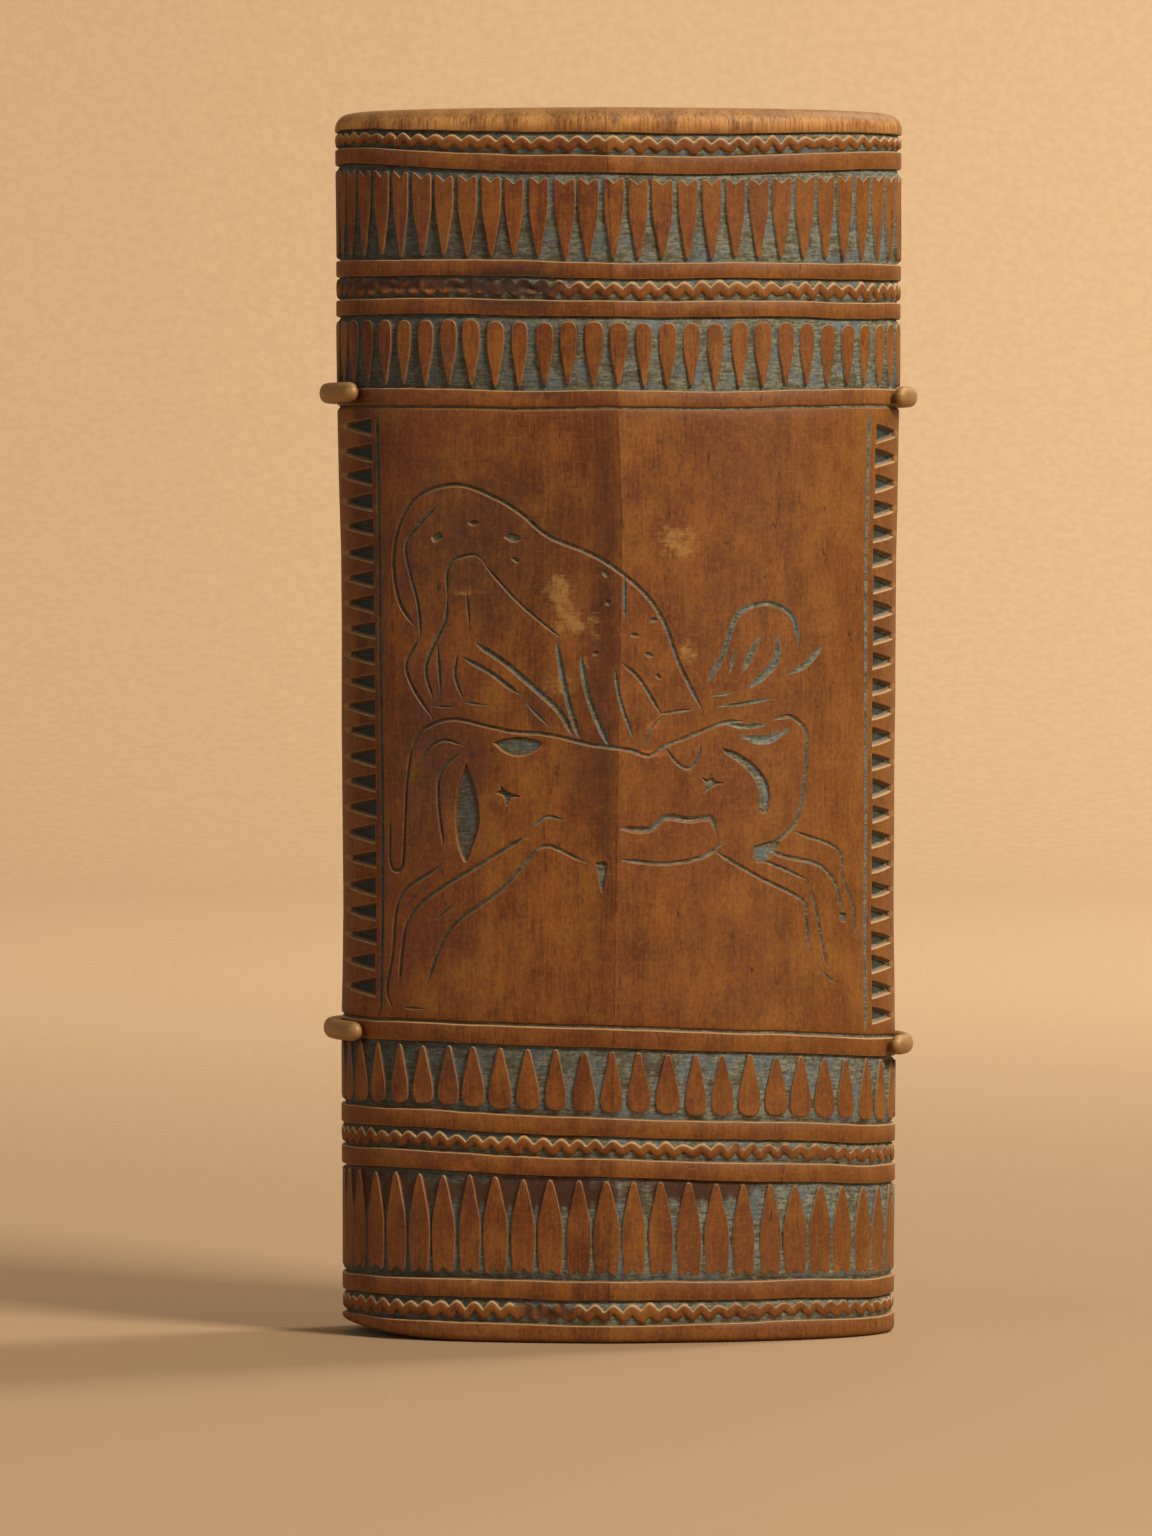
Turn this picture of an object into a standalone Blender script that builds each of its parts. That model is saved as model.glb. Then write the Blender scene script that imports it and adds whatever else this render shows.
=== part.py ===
"""Carved wooden cosmetic container with two bores, standing in a slim brass display cradle.

The container is one block of wood, oval in plan. Its wall is modelled unrolled: points at
(run round the wall, height, depth of cut) are joined by break lines, filled with triangles
and then wrapped round the oval. The front faces -Y and the origin is the underside's centre.
Sizes are in millimetres and become metres where a mesh is made.
"""
import math

import bmesh
import bpy
from mathutils import Vector
from mathutils.geometry import delaunay_2d_cdt

MM = 0.001

# Container block
HEIGHT = 165.0
WIDTH_TOP = 77.0
WIDTH_FOOT = 75.0
DEPTH_TOP = 46.0
DEPTH_FOOT = 45.0
SECTION_POWER = 2.15        # 2 is an ellipse, more is squarer
RIM_RADIUS = 2.2
FOOT_RADIUS = 0.9
FOOT_ANGLES = (45, 90)
RIM_ANGLES = (30, 60, 90)
WORN_CORNER_RISE = 1.25     # how far the worn left corner of the foot is lifted
WORN_CORNER_SPREAD = 13.0
WORN_CORNER_PLACE = 0.26    # share of the way round, from the back's middle
WORN_CORNER_REACH = 9.0     # in from the wall, under the foot
RING_SEGMENTS = 36
LEFT_SIDE = 0.25            # share of the way round
RIGHT_SIDE = 0.75
NEAR = 1e-4                 # places closer than this are one place

# Soft upright ridge down the front, left of the middle
RIDGE_HEIGHT = 1.0
RIDGE_SPREAD = 8.0
RIDGE_FADE_DEPTH = 11.0     # it fades out nearer than this to the sides' widest line
RIDGE_PLACE = ((0.0, -2.4), (0.27, -1.6), (0.67, -0.6), (1.0, -2.8))    # share of height, across

# Bores
BORE_DIAMETER = 20.0
BORE_SPACING = 32.0
BORE_FLOOR = 12.0           # wood left below each bore
BORE_CHAMFER = 0.6
BORE_SEGMENTS = 20

# Bands, each a height up the wall
FOOT_BAND = 2.8
RIM_BAND = 3.3
ZIGZAG_BAND = 3.2
LOWER_FILLET = 2.4
UPPER_FILLET = 2.1
LOWER_TALL_LEAVES = 13.6
LOWER_SHORT_LEAVES = 9.4
UPPER_SHORT_LEAVES = 10.1
UPPER_TALL_LEAVES = 11.9
PANEL_GROOVE = 0.6

# How hand-cut lines run off level: the rise at the middle, the slope to the right
# and the bend up at both sides
FOOT_LINES = (-0.1, -0.35, -0.2)
LOWER_LINES = (0.1, -1.4, -0.45)
PANEL_LINES = (0.15, 0.0, 0.7)
UPPER_LINES = (-0.1, -0.25, 0.45)
TOP_LINES = (-0.15, -0.25, 1.6)
RIM_LINE = (-0.15, -0.2, 0.85)

# Relief
LEAF_DEPTH = 0.7
GROUND_MARGIN = 0.3         # from a fillet's edge to the ground below it
LOWER_LEAF_PITCH = 3.7
UPPER_LEAF_PITCH = 3.2
LEAF_GAP = 0.6
LEAF_SHOULDER = 0.35        # share of a leaf's length that keeps its full width
LEAF_NOTCH = 0.9
LEAF_END_GAP = 0.9
LEAF_TIP_GAP = 0.5
ZIGZAG_DEPTH = 0.7
ZIGZAG_PITCH = 2.3
ZIGZAG_SWING = 0.75         # from the rope's middle line to each crest

# Side borders of cut triangles, and the thin lines that frame the panels
TRIANGLE_PITCH = 3.35
TRIANGLE_BASE = 2.8
TRIANGLE_LENGTH = 8.3
TRIANGLE_DEPTH = 0.8
TRIANGLE_LOW_POINT = 0.3    # share of its length from its base to its deepest point
BORDER_FROM_SIDE = 3.3      # a triangle's tip to the line down the side
FRAME_LINE_GAP = 1.4
LINE_WIDTH = 0.5
LINE_DEPTH = 0.3

# Cut figures of the front panel
FIGURE_GRID_WIDE = 100.0    # drawing units from one frame line to the other
FIGURE_GRID_HIGH = 128.0    # drawing units from the panel's foot to its top
CUT_WIDTH = 1.0
CUT_DEPTH = 0.45
CUT_CORE_SHARE = 0.9        # depth that a cut keeps where another crosses it
PANEL_POINT_SPACING = 12.0

# Display cradle
CRADLE_CLEARANCE = 0.3
ARM_HEIGHT = 2.7
ARM_THICKNESS = 2.0
ARM_SECTION = ((0, -1), (0.6, -1), (1, -0.45), (1, 0.45), (0.6, 1), (0, 1))    # out, up
ARM_TIP = ((0.0, 0.45), (0.5, 0.85), (1.2, 1.0))    # back from the tip, share of its full size
ARM_PAST_LEFT = 11.0        # run from the left's widest point forward to the arm's tip
ARM_PAST_RIGHT = 8.5
LOWER_ARM_FALL = 1.1        # from the middle to the right side
UPPER_ARM_FALL = 0.25
SPINE_WIDTH = 8.0
SPINE_THICKNESS = 3.0
FOOT_PLATE_WIDTH = 46.0
FOOT_PLATE_DEPTH = 30.0
FOOT_PLATE_THICKNESS = 3.0

# Edges sharper than this stay crisp when the faces are shaded, in degrees
WOOD_SHARP_ANGLE = 25
BRASS_SHARP_ANGLE = 40

# Heights where the bands meet
LOWER_KINDS = (
    ("plain", FOOT_BAND), ("zigzag", ZIGZAG_BAND), ("plain", LOWER_FILLET),
    ("tall up", LOWER_TALL_LEAVES), ("plain", LOWER_FILLET), ("zigzag", ZIGZAG_BAND),
    ("plain", LOWER_FILLET), ("short up", LOWER_SHORT_LEAVES), ("plain", LOWER_FILLET),
)
UPPER_KINDS = (
    ("plain", UPPER_FILLET), ("short down", UPPER_SHORT_LEAVES), ("plain", UPPER_FILLET),
    ("zigzag", ZIGZAG_BAND), ("plain", UPPER_FILLET), ("tall down", UPPER_TALL_LEAVES),
    ("plain", UPPER_FILLET), ("zigzag", ZIGZAG_BAND), ("plain", RIM_BAND),
)
PANEL_FOOT = sum(height for kind, height in LOWER_KINDS)
PANEL_TOP = HEIGHT - sum(height for kind, height in UPPER_KINDS)

# The figures, as strokes on the drawing grid: across from the left frame line, up from the foot.
# A spotted hunting cat with its tail raised, on the back of a bull that walks to the right.
CAT_STROKES = {
    "back and tail": ((6.5, 82.5), (3, 88), (2.5, 96), (7, 108.5), (12, 111), (20, 111),
                      (29, 105.5), (43, 97.5), (51, 92.5), (59, 83), (66, 66.5)),
    "tail, inner line": ((11.5, 107), (7, 102.5), (5, 98), (8, 86), (8, 80)),
    "haunch": ((7.5, 80), (5, 74.5), (6.5, 69), (10, 64)),
    "rump": ((13.5, 88.5), (14, 93.5), (18, 97), (21, 95.5)),
    "thigh": ((13.5, 87.5), (13, 83.5), (9, 74), (10.5, 67.5)),
    "shin": ((15.5, 76.5), (15, 72), (16.5, 68)),
    "hind paw": ((10.5, 66), (15, 66)),
    "belly, upper": ((21.5, 94.5), (28, 87.5), (36.5, 80.5)),
    "belly, middle": ((19.5, 79), (32, 69.5), (39, 60.5)),
    "belly, lower": ((17, 76), (28, 69), (34, 62.5)),
    "rib, left": ((36, 79), (37, 73), (40.5, 60)),
    "rib, right": ((41, 76), (42, 70), (46, 58.8)),
    "shoulder": ((50, 92), (50, 84)),
    "neck": ((49.5, 75), (53, 72), (57.5, 65)),
    "chest": ((58.3, 65.2), (64.5, 66)),
    "foreleg": ((48, 73.5), (49, 67), (51.5, 60.5)),
    "head": ((67.5, 72), (72.5, 84), (78.5, 88), (83, 87.3), (86.5, 80.5)),
    "cheek": ((73, 78), (72, 74)),
    "eye": ((78, 80.5), (75, 74.5)),
    "jaw": ((82, 80.5), (81, 76), (76.5, 71)),
    "whisker": ((85, 74), (91.5, 79)),
    "lip": ((70.5, 67), (75, 67.8)),
}
BULL_STROKES = {
    "back": ((6.5, 57), (8.5, 61), (14, 63.4), (27, 61), (42.5, 58.7), (55, 56), (64.5, 60.8),
             (74.5, 64)),
    "muzzle": ((82, 64.3), (85.5, 65), (88, 62), (87.5, 48), (85, 42), (80.5, 38.5)),
    "tail": ((5.5, 52), (4.5, 40), (3.8, 32), (2.3, 31.3), (1.4, 34), (1.4, 42)),
    "horn": ((7.5, 54), (10, 57.5), (16.5, 57.7)),
    "flank": ((15.8, 56.5), (12, 52), (12.3, 37)),
    "star": ((24.3, 50.3), (27, 47.5), (30.3, 45.2)),
    "dash": ((31, 41.7), (37, 43)),
    "hind leg, front": ((29, 39), (19.5, 33), (9, 26), (5, 20.5), (3.5, 9)),
    "hind leg, back": ((11.5, 32.5), (3.5, 26), (2.2, 14), (1.2, 5)),
    "hind leg, inner": ((31.5, 36), (24, 28), (14.5, 20.3), (9.5, 9)),
    "hoof": ((4.5, 3.2), (8.3, 3)),
    "belly, left": ((32.2, 36.6), (35, 37.3), (41.5, 34.3)),
    "ear": ((58.8, 57.5), (61, 55), (63.3, 53.8), (66, 58.5)),
    "shoulder spot": ((65.6, 52), (70.7, 50.5)),
    "brow": ((71, 58), (75.5, 55.5), (79, 51.5), (78.6, 45.5)),
    "eye": ((75, 60.7), (79.5, 60.2), (83.8, 61.8)),
    "rib": ((49, 41.4), (55, 41.5), (58.7, 44), (68, 43.8)),
    "belly, right": ((49.5, 35), (58, 34.6), (66, 36.2), (70, 38.5)),
    "foreleg, back": ((70, 36.5), (78, 32.7), (87, 28), (88.8, 18.5)),
    "foreleg, middle": ((89.6, 30), (91, 24.3), (93, 14)),
    "foreleg, inner": ((80.5, 37.8), (91, 35), (95, 31), (96.3, 25.5)),
    "foreleg, front": ((86.5, 41), (95.4, 38), (96.3, 32.5)),
}
CAT_SPOTS = ((11.6, 101), (19.2, 104), (27, 101), (27, 95.5), (46, 93.5), (46.2, 88), (56, 84.5),
             (52, 81.7), (54.8, 77), (57.2, 72.5))
SPOT_SIZE = 1.1
# Wider pockets: the bull's flank, the crescent on its back and the hollow by its belly
POCKETS = {
    "flank": ((17.2, 52.5), (15, 41), (16, 35), (19.7, 41.5), (18.2, 47)),
    "back": ((22.8, 58.6), (28, 56.2), (32.6, 58.6), (28, 59.6)),
    "belly": ((44, 34), (46.2, 34), (45, 28.5)),
    "chest": ((77, 38.2), (77.6, 35.8), (79.6, 37.3)),
}


def remove_everything():
    for thing in list(bpy.data.objects):
        bpy.data.objects.remove(thing, do_unlink=True)


def interpolate(table, place):
    """Read a table of (place, value) pairs, straight between them and level outside."""
    if place <= table[0][0]:
        return table[0][1]
    for (low, first), (high, last) in zip(table, table[1:]):
        if place <= high:
            return first + (last - first) * (place - low) / (high - low)
    return table[-1][1]


class Oval:
    """The container's outline at its foot, read by the run round it from the back's middle."""

    SAMPLES = 2880

    def __init__(self):
        half_width = WIDTH_FOOT / 2
        half_depth = DEPTH_FOOT / 2
        power = 2 / SECTION_POWER
        self.points = []
        for step in range(self.SAMPLES):
            turn = 2 * math.pi * step / self.SAMPLES
            sine = math.sin(turn)
            cosine = math.cos(turn)
            across = -math.copysign(abs(sine) ** power, sine) * half_width
            back = math.copysign(abs(cosine) ** power, cosine) * half_depth
            self.points.append(Vector((across, back)))
        self.runs = [0.0]
        for first, last in zip(self.points, self.points[1:] + self.points[:1]):
            self.runs.append(self.runs[-1] + (last - first).length)
        self.length = self.runs[-1]

    def find(self, run):
        """Index and share of the sample span that holds a run."""
        run = run % self.length
        low, high = 0, self.SAMPLES
        while high - low > 1:
            middle = (low + high) // 2
            if self.runs[middle] <= run:
                low = middle
            else:
                high = middle
        return low, (run - self.runs[low]) / (self.runs[low + 1] - self.runs[low])

    def point(self, run):
        index, share = self.find(run)
        return self.points[index].lerp(self.points[(index + 1) % self.SAMPLES], share)

    def normal(self, run):
        index, share = self.find(run)
        before = self.points[index - 2]
        after = self.points[(index + 3) % self.SAMPLES]
        along = after - before
        return Vector((along.y, -along.x)).normalized()

    def run_at(self, across):
        """Run of the front point that lies this far to the right, as seen from the front."""
        low, high = self.length * 0.25, self.length * 0.75
        for _ in range(40):
            middle = (low + high) / 2
            if self.point(middle).x < across:
                low = middle
            else:
                high = middle
        return low


OVAL = Oval()


def ring_shift(run, height):
    """How far a hand-cut line at this height runs off level."""
    across = OVAL.point(run).x / (WIDTH_FOOT / 2)
    level = Vector((0.0, 0.0, 0.0))
    lower_leaves_top = FOOT_BAND + ZIGZAG_BAND + LOWER_FILLET + LOWER_TALL_LEAVES
    upper_leaves_foot = PANEL_TOP + UPPER_FILLET + UPPER_SHORT_LEAVES
    top_leaves_end = HEIGHT - RIM_BAND - ZIGZAG_BAND - UPPER_FILLET
    drift = interpolate(
        ((FOOT_RADIUS, level), (FOOT_BAND + ZIGZAG_BAND, Vector(FOOT_LINES)),
         (lower_leaves_top, Vector(LOWER_LINES)), (PANEL_FOOT, Vector(LOWER_LINES)),
         (PANEL_TOP, Vector(PANEL_LINES)), (upper_leaves_foot, Vector(UPPER_LINES)),
         (top_leaves_end - UPPER_TALL_LEAVES, Vector(UPPER_LINES)),
         (top_leaves_end, Vector(TOP_LINES)), (top_leaves_end + UPPER_FILLET, Vector(TOP_LINES)),
         (HEIGHT - RIM_BAND, Vector(RIM_LINE)), (HEIGHT - RIM_RADIUS, level)), height)
    return drift.x + drift.y * across + drift.z * across * across


def wall_point(run, height, depth):
    """Wrap a point of the unrolled wall round the oval, in millimetres."""
    share = height / HEIGHT
    wide = (WIDTH_FOOT + (WIDTH_TOP - WIDTH_FOOT) * share) / WIDTH_FOOT
    deep = (DEPTH_FOOT + (DEPTH_TOP - DEPTH_FOOT) * share) / DEPTH_FOOT
    flat = OVAL.point(run)
    normal = OVAL.normal(run)
    x = flat.x * wide - normal.x * depth
    y = flat.y * deep - normal.y * depth
    if flat.y < 0:
        ridge = abs(x - interpolate(RIDGE_PLACE, share)) / RIDGE_SPREAD
        y -= RIDGE_HEIGHT * math.exp(-ridge) * min(1.0, -flat.y / RIDGE_FADE_DEPTH)
    return Vector((x, y, height + ring_shift(run, height)))


class Unrolled:
    """Points of the unrolled wall with their depth of cut, and the break lines between them."""

    def __init__(self):
        self.points = []
        self.depths = []
        self.edges = []
        self.cuts = []

    def point(self, run, height, depth):
        self.points.append(Vector((run, height)))
        self.depths.append(depth)
        return len(self.points) - 1

    def line(self, places, closed=False):
        """Add points given as (run, height, depth) with a break line through them."""
        indices = [self.point(*place) for place in places]
        self.edges += list(zip(indices, indices[1:]))
        if closed:
            self.edges.append((indices[-1], indices[0]))
        return indices

    def ring(self, height, depth):
        step = OVAL.length / RING_SEGMENTS
        self.line([(step * place, height, depth) for place in range(RING_SEGMENTS + 1)])

    def cut_depth(self, place):
        """Deepest of the figure cuts at a place, 0 outside them."""
        deepest = 0.0
        for start, end, width, depth in self.cuts:
            along = end - start
            share = (place - start).dot(along) / along.length_squared
            share = min(1.0, max(0.0, share))
            aside = (place - start - along * share).length
            deepest = max(deepest, depth * (1 - aside / (width / 2)))
        return deepest

    def clear_of_cuts(self, place, gap):
        """True where no cut's middle line comes nearer than the gap."""
        for start, end, width, depth in self.cuts:
            along = end - start
            share = min(1.0, max(0.0, (place - start).dot(along) / along.length_squared))
            if (place - start - along * share).length < gap:
                return False
        return True

    def edge_depth(self, place):
        """Depth where two break lines cross: the deeper of the two."""
        deepest = 0.0
        for first, last in self.edges:
            start = self.points[first]
            along = self.points[last] - start
            share = (place - start).dot(along) / along.length_squared
            if 0 <= share <= 1 and (place - start - along * share).length < NEAR:
                depth = self.depths[first] + (self.depths[last] - self.depths[first]) * share
                deepest = max(deepest, depth)
        return deepest

    def close_sides(self):
        """Join the points on each side of the unrolled sheet, where it meets itself."""
        for side in (0.0, OVAL.length):
            column = [i for i, point in enumerate(self.points) if abs(point.x - side) < NEAR]
            column.sort(key=lambda i: self.points[i].y)
            for low, high in zip(column, column[1:]):
                if self.points[high].y - self.points[low].y > NEAR:
                    self.edges.append((low, high))

    def triangles(self):
        """Corners as (run, height, depth), and triangles that follow every break line."""
        self.close_sides()
        found = delaunay_2d_cdt(self.points, self.edges, [], 0, NEAR / 10)
        corners = []
        for place, sources in zip(found[0], found[3]):
            if sources:
                depth = max(self.depths[source] for source in sources)
            else:
                depth = self.edge_depth(place)
            corners.append((place.x, place.y, max(depth, self.cut_depth(place))))
        return corners, found[2]


def count_round(pitch):
    return max(8, round(OVAL.length / pitch))


def add_zigzag(sheet, low, high):
    """A raised wavy rope between two fillets: crest line, and a pocket in each bend."""
    waves = count_round(ZIGZAG_PITCH)
    step = OVAL.length / waves
    middle = (low + high) / 2
    swing = min(ZIGZAG_SWING, (high - low) / 2 - GROUND_MARGIN * 2)
    crest = []
    for wave in range(waves):
        crest.append((step * wave, middle - swing, 0.0))
        crest.append((step * (wave + 0.5), middle + swing, 0.0))
        sheet.point(step * (wave + 0.5), low + GROUND_MARGIN, ZIGZAG_DEPTH)
        sheet.point(step * wave, high - GROUND_MARGIN, ZIGZAG_DEPTH)
    crest.append((OVAL.length, middle - swing, 0.0))
    sheet.line(crest)
    sheet.point(OVAL.length, high - GROUND_MARGIN, ZIGZAG_DEPTH)


def add_leaves(sheet, low, high, kind):
    """A row of raised leaves with cut ground between them, pointing up or down."""
    upward = kind.endswith("up")
    base, tip = (low, high) if upward else (high, low)
    toward = 1.0 if upward else -1.0
    pitch = LOWER_LEAF_PITCH if upward else UPPER_LEAF_PITCH
    leaves = count_round(pitch)
    step = OVAL.length / leaves
    start = base + toward * LEAF_END_GAP
    end = tip - toward * LEAF_TIP_GAP
    shoulder = start + (end - start) * LEAF_SHOULDER
    half = (step - LEAF_GAP) / 2
    near = base + toward * GROUND_MARGIN
    far = tip - toward * GROUND_MARGIN
    for leaf in range(leaves):
        middle = step * (leaf + 0.5)
        outline = [(middle - half, start, 0.0)]
        if kind.startswith("tall"):
            outline.append((middle, start + toward * LEAF_NOTCH, 0.0))
        outline.append((middle + half, start, 0.0))
        if kind.startswith("tall"):
            outline.append((middle + half, shoulder, 0.0))
            outline.append((middle, end, 0.0))
            outline.append((middle - half, shoulder, 0.0))
        else:
            outline.append((middle, end, 0.0))
        sheet.line(outline, closed=True)
        if kind.startswith("tall"):
            sheet.point(middle, near, LEAF_DEPTH)
    for gap in range(leaves + 1):
        sheet.line([(step * gap, near, LEAF_DEPTH), (step * gap, far, LEAF_DEPTH)])


def add_side_borders(sheet):
    """Chip-cut triangles down both narrow sides, two facing columns to a side."""
    room = PANEL_TOP - PANEL_FOOT - 2 * PANEL_GROOVE
    count = int(room / TRIANGLE_PITCH)
    step = room / count
    base_run = BORDER_FROM_SIDE + TRIANGLE_LENGTH
    for side in (LEFT_SIDE, RIGHT_SIDE):
        for facing in (-1.0, 1.0):
            for number in range(count):
                height = PANEL_FOOT + PANEL_GROOVE + step * (number + 0.5)
                tip = OVAL.length * side + facing * BORDER_FROM_SIDE
                base = OVAL.length * side + facing * base_run
                half = TRIANGLE_BASE / 2
                sheet.line([(base, height - half, 0.0), (base, height + half, 0.0),
                            (tip, height, 0.0)], closed=True)
                inside = base - facing * TRIANGLE_LENGTH * TRIANGLE_LOW_POINT
                sheet.point(inside, height, TRIANGLE_DEPTH)


def add_cut(sheet, places, width, depth):
    """A V cut along a line of (run, height) places, tapering to nothing at both ends."""
    places = [Vector(place) for place in places]
    left, right = [], []
    for index in range(1, len(places) - 1):
        along = (places[index + 1] - places[index - 1]).normalized()
        aside = Vector((-along.y, along.x)) * width / 2
        left.append(places[index] + aside)
        right.append(places[index] - aside)
    if not left:
        middle = (places[0] + places[1]) / 2
        along = (places[1] - places[0]).normalized()
        aside = Vector((-along.y, along.x)) * width / 2
        places.insert(1, middle)
        left.append(middle + aside)
        right.append(middle - aside)
    for side in (left, right):
        outline = [places[0]] + side + [places[-1]]
        sheet.line([(place.x, place.y, 0.0) for place in outline])
    floor = [(place.x, place.y, depth) for place in places[1:-1]]
    first, last = places[0], places[-1]
    sheet.line([(first.x, first.y, 0.0)] + floor + [(last.x, last.y, 0.0)])
    for start, end in zip(places, places[1:]):
        sheet.cuts.append((start, end, width, depth * CUT_CORE_SHARE))


def frame_line_across():
    """How far right of the middle the front panel's frame line stands, seen from the front."""
    run = OVAL.length * RIGHT_SIDE - BORDER_FROM_SIDE - TRIANGLE_LENGTH - FRAME_LINE_GAP
    return OVAL.point(run).x


def panel_place(across, up):
    """Turn a place on the drawing grid into a (run, height) of the front panel."""
    half = frame_line_across()
    x = (across / FIGURE_GRID_WIDE - 0.5) * 2 * half
    return OVAL.run_at(x), PANEL_FOOT + (PANEL_TOP - PANEL_FOOT) * up / FIGURE_GRID_HIGH


def add_figures(sheet):
    unit = (PANEL_TOP - PANEL_FOOT) / FIGURE_GRID_HIGH
    for strokes in (CAT_STROKES, BULL_STROKES):
        for stroke in strokes.values():
            add_cut(sheet, [panel_place(*place) for place in stroke], CUT_WIDTH, CUT_DEPTH)
    for spot in CAT_SPOTS:
        run, height = panel_place(*spot)
        size = SPOT_SIZE * unit
        corners = [(run - size, height), (run, height - size), (run + size, height),
                   (run, height + size)]
        sheet.line([(x, z, 0.0) for x, z in corners], closed=True)
        sheet.point(run, height, CUT_DEPTH)
    for outline in POCKETS.values():
        rim = [panel_place(*place) for place in outline]
        sheet.line([(x, z, 0.0) for x, z in rim], closed=True)
        middle_run = sum(x for x, z in rim) / len(rim)
        middle_height = sum(z for x, z in rim) / len(rim)
        sheet.point(middle_run, middle_height, CUT_DEPTH)


def add_frame_lines(sheet):
    """Thin cut lines beside the borders, on the front and on the plain back."""
    inset = BORDER_FROM_SIDE + TRIANGLE_LENGTH + FRAME_LINE_GAP
    low = PANEL_FOOT + PANEL_GROOVE + LINE_WIDTH
    high = PANEL_TOP - PANEL_GROOVE - LINE_WIDTH
    for side, facing in ((LEFT_SIDE, 1), (LEFT_SIDE, -1), (RIGHT_SIDE, 1), (RIGHT_SIDE, -1)):
        run = OVAL.length * side + facing * inset
        add_cut(sheet, [(run, low), (run, (low + high) / 2), (run, high)], LINE_WIDTH, LINE_DEPTH)


def add_panel_points(sheet):
    """Keep the panels round: points between the front's cuts, upright lines on the back."""
    low = PANEL_FOOT + PANEL_GROOVE
    high = PANEL_TOP - PANEL_GROOVE
    inset = BORDER_FROM_SIDE + TRIANGLE_LENGTH + FRAME_LINE_GAP + CUT_WIDTH
    rows = round((high - low) / PANEL_POINT_SPACING)
    for place in range(RING_SEGMENTS):
        run = OVAL.length * place / RING_SEGMENTS
        if abs(run - OVAL.length / 2) > OVAL.length / 4 + inset:
            sheet.line([(run, low, 0.0), (run, high, 0.0)])
        elif abs(run - OVAL.length / 2) < OVAL.length / 4 - inset:
            for row in range(1, rows):
                spot = Vector((run, low + (high - low) * row / rows))
                if sheet.clear_of_cuts(spot, CUT_WIDTH):
                    sheet.point(spot.x, spot.y, 0.0)


def unrolled_wall():
    """The whole outer wall, from the foot's rounding to the rim's."""
    sheet = Unrolled()
    sheet.ring(FOOT_RADIUS, 0.0)
    for group, start in ((LOWER_KINDS, 0.0), (UPPER_KINDS, PANEL_TOP)):
        height = start
        for kind, size in group:
            top = height + size
            if kind == "plain":
                if height > 0.0:
                    sheet.ring(height, 0.0)
                if top < HEIGHT - NEAR:
                    sheet.ring(top, 0.0)
            elif kind == "zigzag":
                add_zigzag(sheet, height, top)
            else:
                add_leaves(sheet, height, top, kind)
            height = top
    sheet.ring(HEIGHT - RIM_RADIUS, 0.0)
    for edge, toward in ((PANEL_FOOT, 1.0), (PANEL_TOP, -1.0)):
        sheet.ring(edge + toward * PANEL_GROOVE / 2, LINE_DEPTH)
        sheet.ring(edge + toward * PANEL_GROOVE, 0.0)
    add_side_borders(sheet)
    add_frame_lines(sheet)
    add_figures(sheet)
    add_panel_points(sheet)
    return sheet.triangles()


def ring_points(inset, height, lifted=False):
    """A ring of the block at this height, set in from its wall."""
    points = []
    for place in range(RING_SEGMENTS):
        run = OVAL.length * place / RING_SEGMENTS
        point = wall_point(run, height, inset)
        point.z = height + (worn_lift(run) if lifted else 0.0)
        points.append(point)
    return points


def worn_lift(run):
    """Rise of the foot at its worn front left corner."""
    away = run - OVAL.length * WORN_CORNER_PLACE
    return WORN_CORNER_RISE * math.exp(-(away / WORN_CORNER_SPREAD) ** 2)


def new_ring(mesh, points):
    return [mesh.verts.new(point * MM) for point in points]


def join_rings(mesh, lower, upper):
    """Faces between two rings of equal count, with the lower one first."""
    count = len(lower)
    for i in range(count):
        j = (i + 1) % count
        mesh.faces.new((lower[i], lower[j], upper[j], upper[i]))


def circle(centre_x, radius, height, segments):
    turn = 2 * math.pi / segments
    return [Vector((centre_x + radius * math.cos(turn * i), radius * math.sin(turn * i), height))
            for i in range(segments)]


def wrap_wall(mesh):
    """Add the carved wall, and give its lowest and highest rings in order round the block."""
    corners, triangles = unrolled_wall()
    seam = {}
    verts = []
    for run, height, depth in corners:
        key = round(height, 4)
        if abs(run - OVAL.length) < NEAR and key in seam:
            verts.append(seam[key])
            continue
        point = wall_point(run, height, depth)
        if height < FOOT_BAND:
            point.z += worn_lift(run) * (FOOT_BAND - height) / (FOOT_BAND - FOOT_RADIUS)
        vert = mesh.verts.new(point * MM)
        if abs(run) < NEAR:
            seam[key] = vert
        verts.append(vert)
    for triangle in triangles:
        face = [verts[i] for i in triangle]
        if len(set(face)) == 3:
            mesh.faces.new(face)
    rings = []
    for level in (FOOT_RADIUS, HEIGHT - RIM_RADIUS):
        ring = [(run, vert) for (run, height, depth), vert in zip(corners, verts)
                if abs(height - level) < NEAR and run < OVAL.length - NEAR]
        rings.append([vert for run, vert in sorted(ring, key=lambda item: item[0])])
    return rings


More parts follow.
